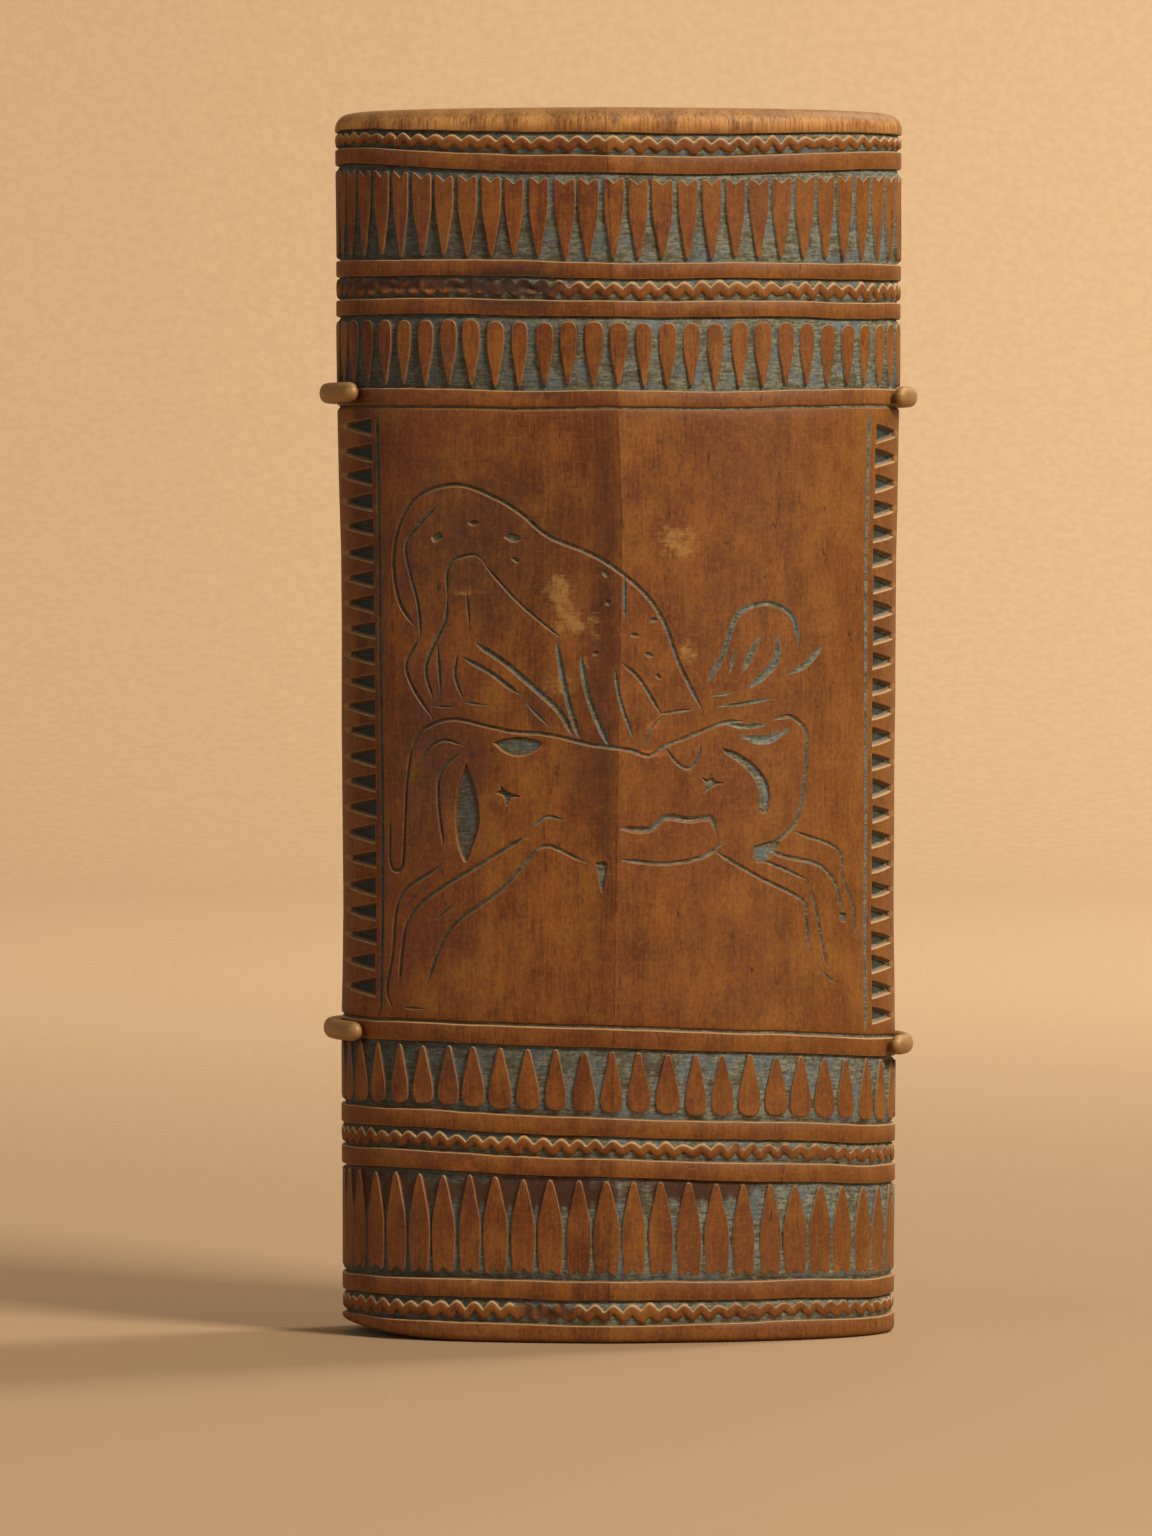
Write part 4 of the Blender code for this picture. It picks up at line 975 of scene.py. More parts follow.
panel = Sheet(PANEL_START, PANEL_END, 0.0, 0.0)
for cut in panel_cuts:
    cut.draw(panel)
columns = round(ROUND / PANEL_GRID)
rows = round((PANEL_END - PANEL_START) / PANEL_GRID)
levels = np.linspace(PANEL_START, PANEL_END, rows + 1)[1:-1]
grid = np.array([(ROUND * (column + 0.5 * (row % 2)) / columns, height)
                 for row, height in enumerate(levels, 1) for column in range(1, columns)])
clear = np.ones(len(grid), dtype=bool)
for cut in panel_cuts:
    near = near_cut(cut, grid)
    if len(near):
        clear[near] &= cut.reach(grid[near])[1] > GRID_CLEARANCE
for run, height in grid[clear]:
    panel.dot(run, height)
panel.line([(front_run(float(ridge_across(height))), height) for height in levels])
for side in (0.0, ROUND):
    for height in levels:
        panel.dot(side, height)
print(panel.fill(panel_values), "faces in the panel")

# %% [markdown]
# ## Wrap the pattern and close the block
#
# Now every point gets its true place, the strips and sheets are merged where they meet, and the
# top is filled round the two bore mouths. The bores are made like a lathe would turn them: a ring
# of points, extruded down the chamfer, the wall and to the floor.

# %% Wrap, merge and bore
BORE_RADIUS = 10.0
BORE_ACROSS = 16.0
BORE_FLOOR = 12.0
BORE_CHAMFER = 0.6
BORE_SIDES = 72
SEAM_GAP = 0.002
TOP_GAP = 0.01
# Radius and height of the rings below a bore's mouth
BORE_RINGS = ((BORE_RADIUS + 0.2, HEIGHT - 0.15), (BORE_RADIUS, HEIGHT - BORE_CHAMFER),
              (BORE_RADIUS, HEIGHT - 40), (BORE_RADIUS, BORE_FLOOR + 1.5),
              (BORE_RADIUS - 1.5, BORE_FLOOR))

block.verts.ensure_lookup_table()
pattern = [np.array([vert[layers[name]] for vert in block.verts], dtype=float)
           for name in ("run", "height", "depth")]
for vert, place in zip(block.verts, zip(*wrap(*pattern))):
    vert.co = Vector(place) * MM
bmesh.ops.remove_doubles(block, verts=block.verts, dist=SEAM_GAP * MM)

top_edges = [edge for edge in block.edges if edge.is_boundary]
on_top = all(vert.co.z > (HEIGHT - TOP_GAP) * MM for edge in top_edges for vert in edge.verts)
print(len(top_edges), "open edges, all on the top:", on_top)
for across in (-BORE_ACROSS, BORE_ACROSS):
    mouth, edges = new_ring(block, BORE_SIDES, (BORE_RADIUS + BORE_CHAMFER) * MM)
    bmesh.ops.translate(block, verts=mouth, vec=(across * MM, 0.0, HEIGHT * MM))
    top_edges += edges
    for radius, height in BORE_RINGS:
        verts, edges = extruded(block, edges)
        for vert in verts:
            aside = Vector((vert.co.x - across * MM, vert.co.y)).normalized() * radius * MM
            vert.co = (across * MM + aside.x, aside.y, height * MM)
    bmesh.ops.contextual_create(block, geom=edges)
bmesh.ops.triangle_fill(block, use_beauty=True, edges=top_edges, normal=(0, 0, 1))
bmesh.ops.recalc_face_normals(block, faces=block.faces)
open_edges = sum(1 for edge in block.edges if not edge.is_manifold)
triangles = sum(len(face.verts) - 2 for face in block.faces)
print(len(block.verts), "points,", triangles, "triangles,", open_edges, "open edges")

# %% [markdown]
# ## Dust, grime, painted shade and rubbed places
#
# Some marks belong to one place of the object, such as a smudge of soot or a pale crust. They are
# soft spots on the front, held as one number per point, and the material breaks their edges up
# with noise. The grime spots on the left of the front are partly painted shade. A place is given by
# how far it is right of the middle and how high it is.

# %% Marks that the material reads
# Grime marks are partly painted shade on the left of the front.
# Across, height, half width, half height, strength
GRIME_AND_SHADE = ((-15, 141, 9, 4, 1.0), (-11, 127.5, 5, 1.6, 0.8), (-34, 100, 4, 60, 0.5),
         (-3, 84, 1.8, 45, 0.55), (-1.5, 163.5, 1.2, 1.5, 0.7), (-1.5, 77, 2, 3, 0.4),
         (-30, 30, 6, 8, 0.2), (-17, 106, 18, 18, 0.6), (-24, 78, 12, 16, 0.55),
         (-10, 87, 8, 10, 0.5), (-6, 77, 6, 8, 0.5))
PALE = ((-8.9, 100.5, 2.2, 3.2, 1.0), (-7.4, 96.4, 2.6, 2.2, 0.95), (-4.2, 95.4, 1.2, 2.6, 0.75),
        (-5.4, 91, 2.4, 1.0, 0.7), (6.5, 107, 3.6, 2.8, 0.85), (8, 92.5, 1.6, 2.2, 0.8),
        (-9, 88, 3, 2.4, 0.6), (-22, 100.3, 4, 0.5, 0.7), (-20.5, 3, 1.2, 0.6, 1.0),
        (-11.5, 3, 1.2, 0.6, 0.9), (31, 36, 1, 1, 0.8), (-20, 8.0, 1.5, 0.5, 1.0),
        (-14, 5.2, 9, 0.5, 0.8))
FRESH = ((3.2, 82.6, 2.4, 1.0, 0.8), (3.4, 78.8, 3.2, 0.8, 0.9), (-22, 23.8, 4, 1.4, 1.0),
         (-5.6, 79.6, 1.6, 0.5, 0.6))
# Places where the paste has fallen out and brown wood shows on the ground
BARE = ((-36, 20, 14, 3, 0.9), (-12, 20, 16, 2.6, 0.9), (10, 20.5, 11, 2.2, 0.8), (-8, 27.5, 3, 1, 0.5),
        (4, 37, 3.5, 3, 0.5), (-6, 134, 5, 4, 0.4), (-18, 149, 7, 5, 0.4), (22, 33, 9, 4, 0.3))
# Distance from the ridge that is written for places that aren't on the front
NOT_IN_FRONT = -99.0
# A soft spot fades to nothing at this share of its half width and height
SOFT_REACH = 1.35
SHARP_CARVING = math.radians(30)


def spots_on_front(spots, x, y, z):
    """Strength of the nearest soft spot at each place of the front."""
    strength = np.zeros(len(x))
    for across, height, wide, tall, most in spots:
        away = np.hypot((x - across) / wide, (z - height) / tall)
        strength = np.maximum(strength, most * np.clip(SOFT_REACH - away, 0, 1) * (y < 0))
    return strength


container_mesh = bpy.data.meshes.new("carved_container")
block.to_mesh(container_mesh)
block.free()
places = np.empty(len(container_mesh.vertices) * 3)
container_mesh.vertices.foreach_get("co", places)
x, y, z = places.reshape(-1, 3).T / MM
marks = {name: spots_on_front(spots, x, y, z)
         for name, spots in (("grime_and_shade", GRIME_AND_SHADE), ("pale", PALE), ("fresh", FRESH), ("bare", BARE))}
marks["from_ridge"] = np.where(y < 0, x - ridge_across(z), NOT_IN_FRONT)
for name, values in marks.items():
    container_mesh.attributes.new(name, "FLOAT", "POINT").data.foreach_set("value", values)
container_mesh.shade_smooth()
container_mesh.set_sharp_from_angle(angle=SHARP_CARVING)
container = bpy.data.objects.new("carved_container", container_mesh)
bpy.context.scene.collection.objects.link(container)
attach(container, "root")
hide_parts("container")
print("box of the carved block:", [(round(float(v.min()), 2), round(float(v.max()), 2)) for v in (x, y, z)])

# %% [markdown]
# ## A small helper for materials
#
# A procedural material is a graph of nodes. This class adds one node with each method and gives
# its output, so a finish reads like a recipe. Places are in the object's own millimetres, which
# keeps grain and streaks at their true size from every side. Colour is built up as a painter would
# do it, in coats, each with the share of it that shows.

# %% A material made in steps
def as_light(red, green, blue):
    """A colour as a painter's program shows it, turned into light."""
    return [*(((c / 255 + 0.055) / 1.055) ** 2.4 if c > 10 else c / 255 / 12.92
              for c in (red, green, blue)), 1.0]


class Finish:
    """A material, with a method for each kind of node that it needs."""

    def __init__(self, name):
        self.material = bpy.data.materials.new(name)
        self.material.use_nodes = True
        self.tree = self.material.node_tree
        self.shader = self.tree.nodes["Principled BSDF"].inputs
        self.coordinates = self.node("TexCoord").outputs

    def node(self, kind, **settings):
        node = self.tree.nodes.new("ShaderNode" + kind)
        for name, value in settings.items():
            setattr(node, name, value)
        return node

    def connect(self, value, socket):
        """Link an output to a socket, or set the socket to a number or a painter's colour."""
        if isinstance(value, bpy.types.NodeSocket):
            self.tree.links.new(value, socket)
        else:
            socket.default_value = as_light(*value) if isinstance(value, tuple) else value

    def parts(self, name):
        """X, Y and Z of the place or of the normal, in the object's own axes."""
        node = self.node("SeparateXYZ")
        self.connect(self.coordinates[name], node.inputs["Vector"])
        return node.outputs

    def attribute(self, name):
        return self.node("Attribute", attribute_name=name).outputs["Fac"]

    def grain(self, stretch, detail=3.0, roughness=0.55):
        """Noise whose lumps measure the stretch, in millimetres, along X, Y and Z."""
        mapping = self.node("Mapping")
        mapping.inputs["Scale"].default_value = [1 / (size * MM) for size in stretch]
        self.connect(self.coordinates["Object"], mapping.inputs["Vector"])
        texture = self.node("TexNoise")
        for name, value in (("Vector", mapping.outputs["Vector"]), ("Scale", 1.0),
                            ("Detail", detail), ("Roughness", roughness)):
            self.connect(value, texture.inputs[name])
        return texture.outputs["Fac"]

    def spread(self, value, low, high, start=0.0, end=1.0):
        """Stretch a range of values softly over another."""
        node = self.node("MapRange", interpolation_type="SMOOTHSTEP")
        for name, number in (("Value", value), ("From Min", low), ("From Max", high),
                             ("To Min", start), ("To Max", end)):
            self.connect(number, node.inputs[name])
        return node.outputs["Result"]

    def maths(self, operation, first, second=0.0):
        node = self.node("Math", operation=operation)
        self.connect(first, node.inputs[0])
        self.connect(second, node.inputs[1])
        return node.outputs["Value"]

    def plus(self, first, second):
        return self.maths("ADD", first, second)

    def times(self, first, second):
        return self.maths("MULTIPLY", first, second)

    def coats(self, base, *layers):
        """Lay colours over a base, given as (share that shows, colour)."""
        for share, tint in layers:
            node = self.node("Mix", data_type="RGBA")
            for number, value in ((0, share), (6, base), (7, tint)):
                self.connect(value, node.inputs[number])
            base = node.outputs[2]
        return base

    def bump(self, relief, strength, distance):
        """Give the surface relief that only the light sees; the distance is in millimetres."""
        node = self.node("Bump")
        for name, value in (("Height", relief), ("Strength", strength), ("Distance", distance * MM)):
            self.connect(value, node.inputs[name])
        self.connect(node.outputs["Normal"], self.shader["Normal"])


print("finishes can be made")

# %% [markdown]
# ## Old carved wood
#
# The wood is reddish brown with a fine upright grain, redder and darker in clouds and golden
# elsewhere, with dark specks, pores and a few fine cracks. The rim is paler, partly because hands and
# air wore it and partly as a painted sheen. Each of these is noise of its own size, and long lumps
# along Z make the grain. Noise that several steps need is made once.

# %% The bare wood
wood = Finish("carved_wood")
position = wood.parts("Object")
facing = wood.parts("Normal")
fine = wood.grain((0.3, 0.3, 5.0), 3.0, 0.6)
broad = wood.grain((3.0, 3.0, 30.0), 4.0, 0.6)
mottled = wood.grain((4.0, 4.0, 5.0), 5.0, 0.65)
cloudy = wood.grain((16.0, 16.0, 22.0), 2.0)
golden = wood.grain((7.0, 7.0, 9.0), 3.0, 0.6)
specks = wood.grain((0.45, 0.45, 0.7), 2.0, 0.7)
pores = wood.grain((0.16, 0.16, 2.2), 2.0)
brushed = wood.grain((2.5, 2.5, 0.22), 3.0, 0.6)
rim_pores = wood.grain((0.3, 0.3, 6.0), 2.0, 0.6)
checks = wood.grain((3.4, 3.4, 50.0), 2.0)
ragged = wood.grain((1.2, 1.2, 1.4), 4.0, 0.7)

tone = wood.plus(wood.times(fine, 0.3), wood.times(broad, 0.3))
tone = wood.plus(tone, wood.times(mottled, 0.4))
body = wood.coats((86, 43, 17), (wood.spread(tone, 0.36, 0.62), (131, 76, 25)),
                  (wood.spread(cloudy, 0.4, 0.68, 0.0, 0.55), (94, 42, 18)),
                  (wood.spread(golden, 0.5, 0.66, 0.0, 0.4), (140, 90, 28)),
                  (wood.spread(position["X"], -0.01, 0.036, 0.0, 0.3), (128, 84, 32)),
                  (wood.spread(specks, 0.5, 0.7, 0.0, 0.35), (62, 32, 16)),
                  (wood.spread(specks, 0.32, 0.47, 0.18, 0.0), (162, 106, 44)),
                  (wood.spread(pores, 0.62, 0.72, 0.0, 0.3), (48, 27, 17)),
                  (wood.spread(brushed, 0.55, 0.75, 0.0, 0.3), (150, 96, 38)))

# The paler rim is wear and dust, and partly a painted sheen.
on_rim = wood.spread(position["Z"], 0.1605, 0.1635)
rim_wear_and_sheen = wood.times(on_rim, wood.spread(tone, 0.4, 0.58, 0.2, 0.85))
rim_pores = wood.times(on_rim, wood.spread(rim_pores, 0.54, 0.66, 0.0, 0.6))
from_crack = wood.maths("ABSOLUTE", wood.maths("SUBTRACT", checks, 0.5))
cracks = wood.times(wood.spread(from_crack, 0.0015, 0.005, 1.0, 0.0),
                    wood.spread(ragged, 0.45, 0.6, 0.0, 0.7))
body = wood.coats(body, (rim_wear_and_sheen, (196, 142, 78)), (rim_pores, (64, 38, 20)), (cracks, (40, 24, 16)))
print(len(wood.tree.nodes), "nodes in the bare wood")

# %% [markdown]
# ## Wear, grime and crusts, with painted light and shade
#
# Left of the front's ridge the wood is darker, partly as painted shade of the side that faces away
# from the key lamp and partly as grime, and the ridge itself is sharp and dark. Fresh breaks are
# orange, crusts are pale and grime is nearly black, each where its mark was put on the mesh; on the
# left of the front the grime is partly painted shade. Worn edges and dust show on what faces up, so
# they read the normal, and the edges also carry a painted highlight. Faces that look up are painted
# paler as dust and painted light from above, and every cut is darkened as painted shade.

# %% Marks of age, with painted light and shade
def broken_up(name, more, low, high):
    """The share of a mark, with its edge broken up by noise."""
    return wood.spread(wood.times(wood.attribute(name), wood.plus(ragged, more)), low, high)


from_ridge = wood.attribute("from_ridge")
# A darker strip left of the ridge: partly painted shade of the side facing away from the key lamp, partly
# grime.
beside = wood.times(wood.spread(from_ridge, -9.0, -1.0), wood.maths("LESS_THAN", from_ridge, 0.0))
for heights in ((0.05, 0.09, 0.1, 0.4), (0.122, 0.13, 1.0, 0.35)):
    beside = wood.times(beside, wood.spread(position["Z"], *heights))
ridge_line = wood.spread(wood.maths("ABSOLUTE", wood.plus(from_ridge, 0.1)), 0.04, 0.16, 0.6, 0.0)
ridge_line = wood.times(ridge_line, wood.spread(ragged, 0.35, 0.6))
fresh = broken_up("fresh", 0.5, 0.45, 0.85)
# Grime, and on the left of the front partly painted shade.
grime_and_shade = broken_up("grime_and_shade", 0.4, 0.15, 0.85)
# Pale edges: wear and dust, with a painted highlight that is strongest where they face up to the light.
wear_and_highlight = broken_up("wear_and_highlight", 0.45, 0.25, 0.85)
wear_and_highlight = wood.times(wear_and_highlight, wood.spread(facing["Z"], 0.0, 0.5, 0.2, 1.0))
pale = wood.attribute("pale")
flakes = wood.plus(wood.times(ragged, 2.2), wood.times(brushed, 0.9))
crust = wood.times(wood.spread(wood.plus(pale, flakes), 1.9, 2.6), wood.spread(pale, 0.02, 0.5, 0.0, 0.6))
depth = wood.attribute("depth")
# Painted shade: darker deeper in the cuts, most where a face doesn't look up.
recess_shade = wood.times(wood.spread(depth, 0.1, 0.4, 0.0, 0.82), wood.spread(facing["Z"], 0.15, 0.5, 1.0, 0.25))
# Among these coats, faces that look up are painted paler: dust, with painted light from above.
body = wood.coats(body, (beside, (62, 32, 20)), (ridge_line, (44, 26, 17)),
                  (wood.times(fresh, 0.7), (160, 92, 40)), (wood.times(grime_and_shade, 0.75), (40, 28, 21)),
                  (crust, (168, 124, 66)), (wood.times(wear_and_highlight, 0.85), (194, 168, 118)),
                  (wood.spread(facing["Z"], 0.1, 0.9, 0.0, 0.5), (150, 110, 68)),
                  (recess_shade, (48, 32, 22)))
print(len(wood.tree.nodes), "nodes with the marks of age")

# %% [markdown]
# ## Paste in the cuts
#
# The paste was bright blue once and is now a dusty grey with blue left in places and brown dirt. It
# is darker on the left and deep down, which is painted shade. It was dragged sideways, so its streaks
# lie flat. It belongs to the same material as the wood, because it sits in the wood's own cuts: the
# paste layer says where, noise makes its rim ragged, and the bare mark takes it away again.

# %% The paste, and the surface of both
grains = wood.grain((0.5, 0.5, 0.45), 3.0, 0.6)
streaked = wood.grain((1.6, 1.6, 0.28), 3.0, 0.6)
patches = wood.grain((3.6, 3.6, 2.4), 3.0, 0.6)
speckled = wood.plus(wood.times(grains, 0.4), wood.times(streaked, 0.6))
held = wood.maths("SUBTRACT", wood.attribute("paste"), wood.times(wood.attribute("bare"), 0.85))
held = wood.plus(held, wood.times(wood.plus(speckled, ragged), 0.4))
paste_share = wood.spread(held, 0.72, 1.05)
# The paste is darker towards the left and in the deepest cuts: painted shade.
grey = wood.coats((74, 74, 62), (wood.spread(speckled, 0.38, 0.62), (128, 128, 110)),
                  (wood.spread(patches, 0.48, 0.62, 0.0, 0.55), (86, 102, 112)),
                  (wood.spread(patches, 0.46, 0.34, 0.0, 0.6), (70, 66, 44)),
                  (wood.spread(ragged, 0.5, 0.66, 0.0, 0.6), (76, 56, 36)),
                  (wood.spread(position["X"], -0.034, 0.012, 0.66, 0.0), (44, 42, 34)),
                  (wood.spread(depth, 0.66, 0.8, 0.0, 0.75), (40, 44, 40)))
wood.connect(wood.coats(body, (paste_share, grey)), wood.shader["Base Color"])

rough = wood.plus(wood.spread(tone, 0.3, 0.7, 0.46, 0.64), wood.times(paste_share, 0.3))
wood.connect(rough, wood.shader["Roughness"])
wood.connect(0.25, wood.shader["Specular IOR Level"])
relief = wood.plus(wood.times(fine, 0.5), wood.times(ragged, 0.4))
relief = wood.plus(relief, wood.times(wood.times(speckled, paste_share), 1.6))
wood.bump(relief, 0.5, 0.1)
container_mesh.materials.append(wood.material)
print(len(wood.tree.nodes), "nodes in wood and paste")

# %% [markdown]
# ## The display cradle
#
# A museum holds such a piece in a thin brass mount: a spine behind it, a foot plate, and two arms
# bent round its back. Each arm is a rounded section swept round the oval, a ring of points
# extruded from place to place, and its tips are half rounds. The spine and the plate are boxes
# with a small bevel.

# %% Arms, spine and foot plate
CLEARANCE = 0.3
ARM_HEIGHT = 2.7
ARM_THICKNESS = 2.0
ARM_PAST_LEFT = 11.0
ARM_PAST_RIGHT = 8.5
ARM_SIDES = 16
ARM_PLACES = 110
TIP_ANGLES = (12, 27, 42, 57, 74)
SPINE_WIDTH = 8.0
SPINE_THICKNESS = 3.0
PLATE_THICKNESS = 3.0
PLATE_WIDTH = 46.0
PLATE_DEPTH = 30.0
BAR_BEVEL = 0.28
# Edges sharper than this get the bevel, and those sharper than the other stay crisp to the light
BEVEL_ANGLE = math.radians(50)
SHARP_BRASS = math.radians(35)
# Height of the arm's middle behind the block, and its fall from there to the right side
ARM_LEVELS = ((PANEL_FOOT - LOWER_FILLET * 2 / 3, 1.1), (PANEL_TOP + UPPER_FILLET, 0.25))

cradle = bmesh.new()
turn_layer = cradle.verts.layers.float.new("turn")


def arm_place(run, level, out, up):
    """A place on an arm: out from the wall and up from the arm's middle."""
    x, y = widened(*oval_place(run), level)
    out_x, out_y = oval_outward(run)
    return Vector((x + out_x * out, y + out_y * out, level + up)) * MM


def arm_stations():
    """Runs along an arm with the share of its section there, close together at the tips."""
    left, right = ROUND * 0.25 + ARM_PAST_LEFT, -ROUND * 0.25 - ARM_PAST_RIGHT
    tip = ARM_HEIGHT / 2
    round_part = [(tip * (1 - math.cos(math.radians(a))), math.sin(math.radians(a))) for a in TIP_ANGLES]
    stations = [(right + back, share) for back, share in round_part]
    stations += [(run, 1.0) for run in np.linspace(right + tip, left - tip, ARM_PLACES)]
    return stations + [(left - back, share) for back, share in reversed(round_part)]


def add_arm(level, fall):
    """Sweep a rounded section round the back, from tip to tip."""
    verts, edges = new_ring(cradle, ARM_SIDES)
    for number, vert in enumerate(verts):
        vert[turn_layer] = 2 * math.pi * number / ARM_SIDES
    first_edges = edges
    for number, (run, share) in enumerate(arm_stations()):
        if number:
            verts, edges = extruded(cradle, edges)
        lower = fall * float(oval_place(run)[0]) / (WIDTH_FOOT / 2)
        for vert in verts:
            out = CLEARANCE + ARM_THICKNESS / 2 * (1 + share * math.cos(vert[turn_layer]))
            up = ARM_HEIGHT / 2 * share * math.sin(vert[turn_layer])
            vert.co = arm_place(run, level, out, up - lower)
    bmesh.ops.contextual_create(cradle, geom=first_edges)
    bmesh.ops.contextual_create(cradle, geom=edges)


for level, fall in ARM_LEVELS:
    add_arm(level, fall)
arm_backs = [arm_place(0.0, level, CLEARANCE + ARM_THICKNESS, 0.0).y / MM for level, _ in ARM_LEVELS]
spine_front = min(arm_backs) - ARM_THICKNESS / 2


def add_bar(low, high):
    """A box between two corners."""
    made = bmesh.ops.create_cube(cradle, size=1.0)["verts"]
    size = [(b - a) * MM for a, b in zip(low, high)]
    middle = [(a + b) / 2 * MM for a, b in zip(low, high)]
    bmesh.ops.scale(cradle, vec=size, verts=made)
    bmesh.ops.translate(cradle, vec=middle, verts=made)


add_bar((-SPINE_WIDTH / 2, spine_front, PLATE_THICKNESS / 2),
        (SPINE_WIDTH / 2, spine_front + SPINE_THICKNESS, ARM_LEVELS[-1][0] + ARM_HEIGHT))
add_bar((-PLATE_WIDTH / 2, spine_front, 0.0), (PLATE_WIDTH / 2, spine_front + PLATE_DEPTH, PLATE_THICKNESS))
bmesh.ops.recalc_face_normals(cradle, faces=cradle.faces)
sharp = [edge for edge in cradle.edges if edge.is_manifold and edge.calc_face_angle(0.0) > BEVEL_ANGLE]
bmesh.ops.bevel(cradle, geom=sharp, offset=BAR_BEVEL * MM, offset_type="OFFSET", segments=2, profile=0.5,
                affect="EDGES", material=-1, clamp_overlap=True)
cradle_mesh = bpy.data.meshes.new("brass_cradle")
cradle.to_mesh(cradle_mesh)
cradle.free()
cradle_mesh.shade_smooth()
cradle_mesh.set_sharp_from_angle(angle=SHARP_BRASS)
brass_cradle = bpy.data.objects.new("brass_cradle", cradle_mesh)
bpy.context.scene.collection.objects.link(brass_cradle)
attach(brass_cradle, "root")
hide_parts("display_cradle")
print(len(cradle_mesh.polygons), "faces in the cradle")

# %% [markdown]
# ## Aged brass
#
# The mount is brass that was toned down so that it doesn't shine beside the wood: a dull tan with
# faint brushing along it and darker spots. Metallic stays below full, because a lacquered and
# toned surface scatters some light.

# %% The brass
brass = Finish("brass")
brushing = brass.grain((6.0, 6.0, 0.2))
spots = brass.grain((2.5, 2.5, 2.5), 4.0, 0.6)
metal = brass.coats((156, 118, 72), (brass.spread(spots, 0.35, 0.7), (172, 133, 84)),
                    (brass.spread(brushing, 0.4, 0.7, 0.0, 0.3), (112, 80, 46)))
brass.connect(metal, brass.shader["Base Color"])
brass.connect(brass.spread(spots, 0.3, 0.7, 0.5, 0.65), brass.shader["Roughness"])
brass.connect(0.5, brass.shader["Metallic"])
brass.bump(brushing, 0.3, 0.05)
cradle_mesh.materials.append(brass.material)
print("brass ready")

# %% [markdown]
# ## Floor and backdrop
#
# The object stands on a plain pale floor that curves up behind it, so no line crosses the picture.
# One strip is extruded along that profile, and its paper is a little darker under the object than
# behind it, which is painted shade. It isn't part of the object.

# %% Stage
FLOOR_HALF = 2.5
FLOOR_FRONT = -2.6
FLOOR_BACK = 1.8
COVE = 0.5
WALL_TOP = 2.6
profile = [(FLOOR_FRONT, 0.0), (FLOOR_BACK, 0.0)]
profile += [(FLOOR_BACK + COVE * math.sin(math.radians(a)), COVE - COVE * math.cos(math.radians(a)))
            for a in range(6, 91, 6)]
profile += [(FLOOR_BACK + COVE, WALL_TOP)]
floor = bmesh.new()
edges = [floor.edges.new([floor.verts.new((side, *profile[0])) for side in (-FLOOR_HALF, FLOOR_HALF)])]
for y, z in profile[1:]:
    verts, edges = extruded(floor, edges)
    for vert in verts:
        vert.co.y, vert.co.z = y, z
bmesh.ops.recalc_face_normals(floor, faces=floor.faces)
floor_mesh = bpy.data.meshes.new("floor")
floor.to_mesh(floor_mesh)
floor.free()
floor_mesh.shade_smooth()
paper = Finish("pale_paper")
fibre = paper.grain((3.0, 3.0, 3.0))
wall = paper.coats((186, 156, 118), (paper.spread(fibre, 0.3, 0.7), (192, 162, 124)))
# Paper darker towards the front and under the object: painted shade.
sheet_colour = paper.coats((160, 130, 95), (paper.spread(paper.parts("Object")["Y"], -0.1, 1.2), wall))
paper.connect(sheet_colour, paper.shader["Base Color"])
paper.connect(0.9, paper.shader["Roughness"])
floor_mesh.materials.append(paper.material)
stage_floor = bpy.data.objects.new("floor", floor_mesh)
bpy.context.scene.collection.objects.link(stage_floor)
print("floor and backdrop ready")

# %% [markdown]
# ## Light
#
# One soft light stands high on the right and in front, and gives the carving its shadows to the
# lower left. A weak wide light fills from the left, a third lights the backdrop alone from behind
# the object, and the surroundings add a little warm light from all sides.

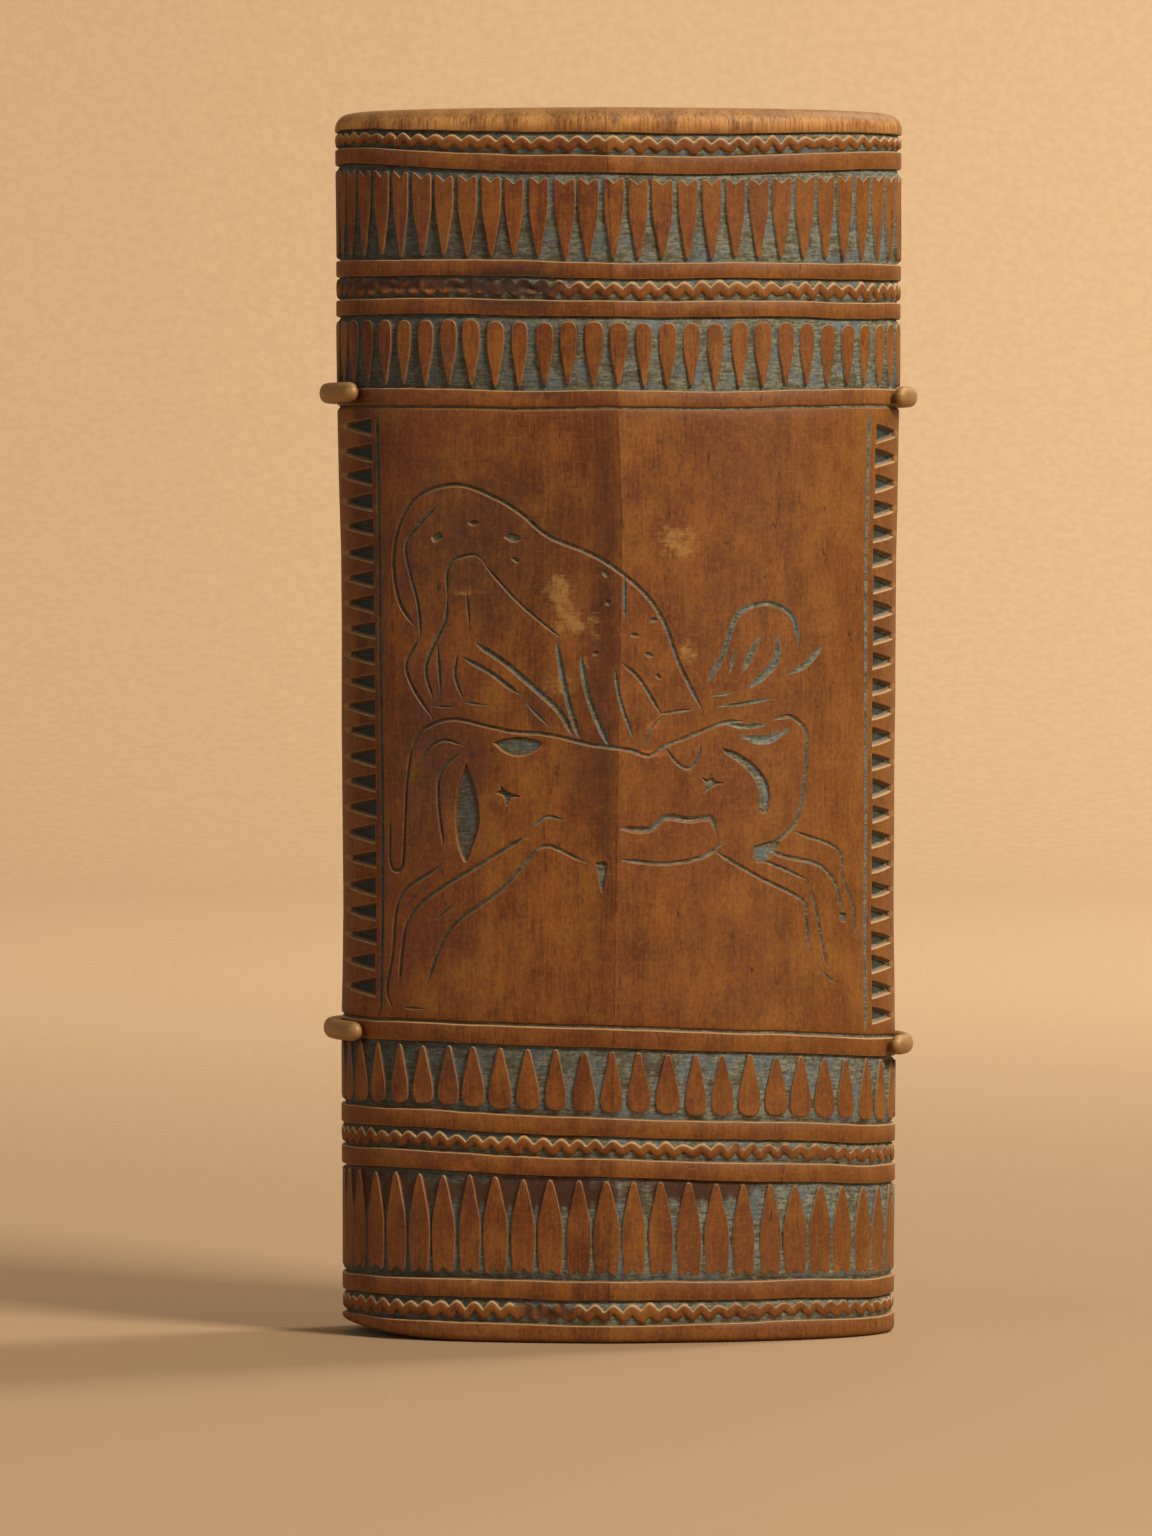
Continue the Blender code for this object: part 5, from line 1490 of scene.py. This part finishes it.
# %% Lights
def add_light(name, place, target, width, height, power, tint):
    """Hang a rectangular lamp at a place, turned to its target."""
    data = bpy.data.lights.new(name, "AREA")
    data.shape = "RECTANGLE"
    data.size, data.size_y = width, height
    data.energy = power
    data.color = tint
    light = bpy.data.objects.new(name, data)
    light.location = place
    light.rotation_mode = "QUATERNION"
    light.rotation_quaternion = (Vector(target) - Vector(place)).to_track_quat("-Z", "Y")
    bpy.context.scene.collection.objects.link(light)


add_light("key", (0.61, -0.71, 0.8), (0.0, 0.0, 0.09), 0.3, 0.3, 16.2, (1.0, 0.93, 0.82))
add_light("fill", (-0.9, -0.7, 0.3), (0.0, 0.0, 0.06), 0.9, 0.9, 2.8, (1.0, 0.95, 0.9))
add_light("backdrop", (1.3, 0.9, 1.6), (0.6, 2.1, 0.4), 1.2, 0.6, 62.0, (1.0, 0.95, 0.88))
world = bpy.data.worlds.new("studio")
world.use_nodes = True
world.node_tree.nodes["Background"].inputs["Color"].default_value = (1.0, 0.9, 0.78, 1.0)
world.node_tree.nodes["Background"].inputs["Strength"].default_value = 0.2
bpy.context.scene.world = world
bpy.context.scene.view_settings.view_transform = "Standard"
print("three lights and a soft world")

# %% [markdown]
# ## Camera
#
# The picture was taken from far away with a long lens, level with the upper part of the object and
# a little to its left, so the block shows hardly any perspective. The lens follows from the size
# of the object in the picture, which is 1152 pixels wide and 1536 high.

# %% Camera
PICTURE_HIGH = 1536
FOCAL_PIXELS = 9750
SENSOR = 36.0
DISTANCE = 1.323
CAMERA_TURN = math.radians(-2.7)
CAMERA_HEIGHT = 0.103
AIM_LEFT = math.radians(0.25)
AIM_DOWN = math.radians(1.15)

camera_data = bpy.data.cameras.new("camera")
camera_data.sensor_width = SENSOR
camera_data.lens = FOCAL_PIXELS * SENSOR / PICTURE_HIGH
camera_data.clip_end = 20.0
camera = bpy.data.objects.new("camera", camera_data)
camera.location = (math.sin(CAMERA_TURN) * DISTANCE, -math.cos(CAMERA_TURN) * DISTANCE, CAMERA_HEIGHT)
camera.rotation_euler = (math.pi / 2 - AIM_DOWN, 0.0, CAMERA_TURN + AIM_LEFT)
bpy.context.scene.collection.objects.link(camera)
bpy.context.scene.camera = camera
print(f"lens {camera_data.lens:.1f} mm")
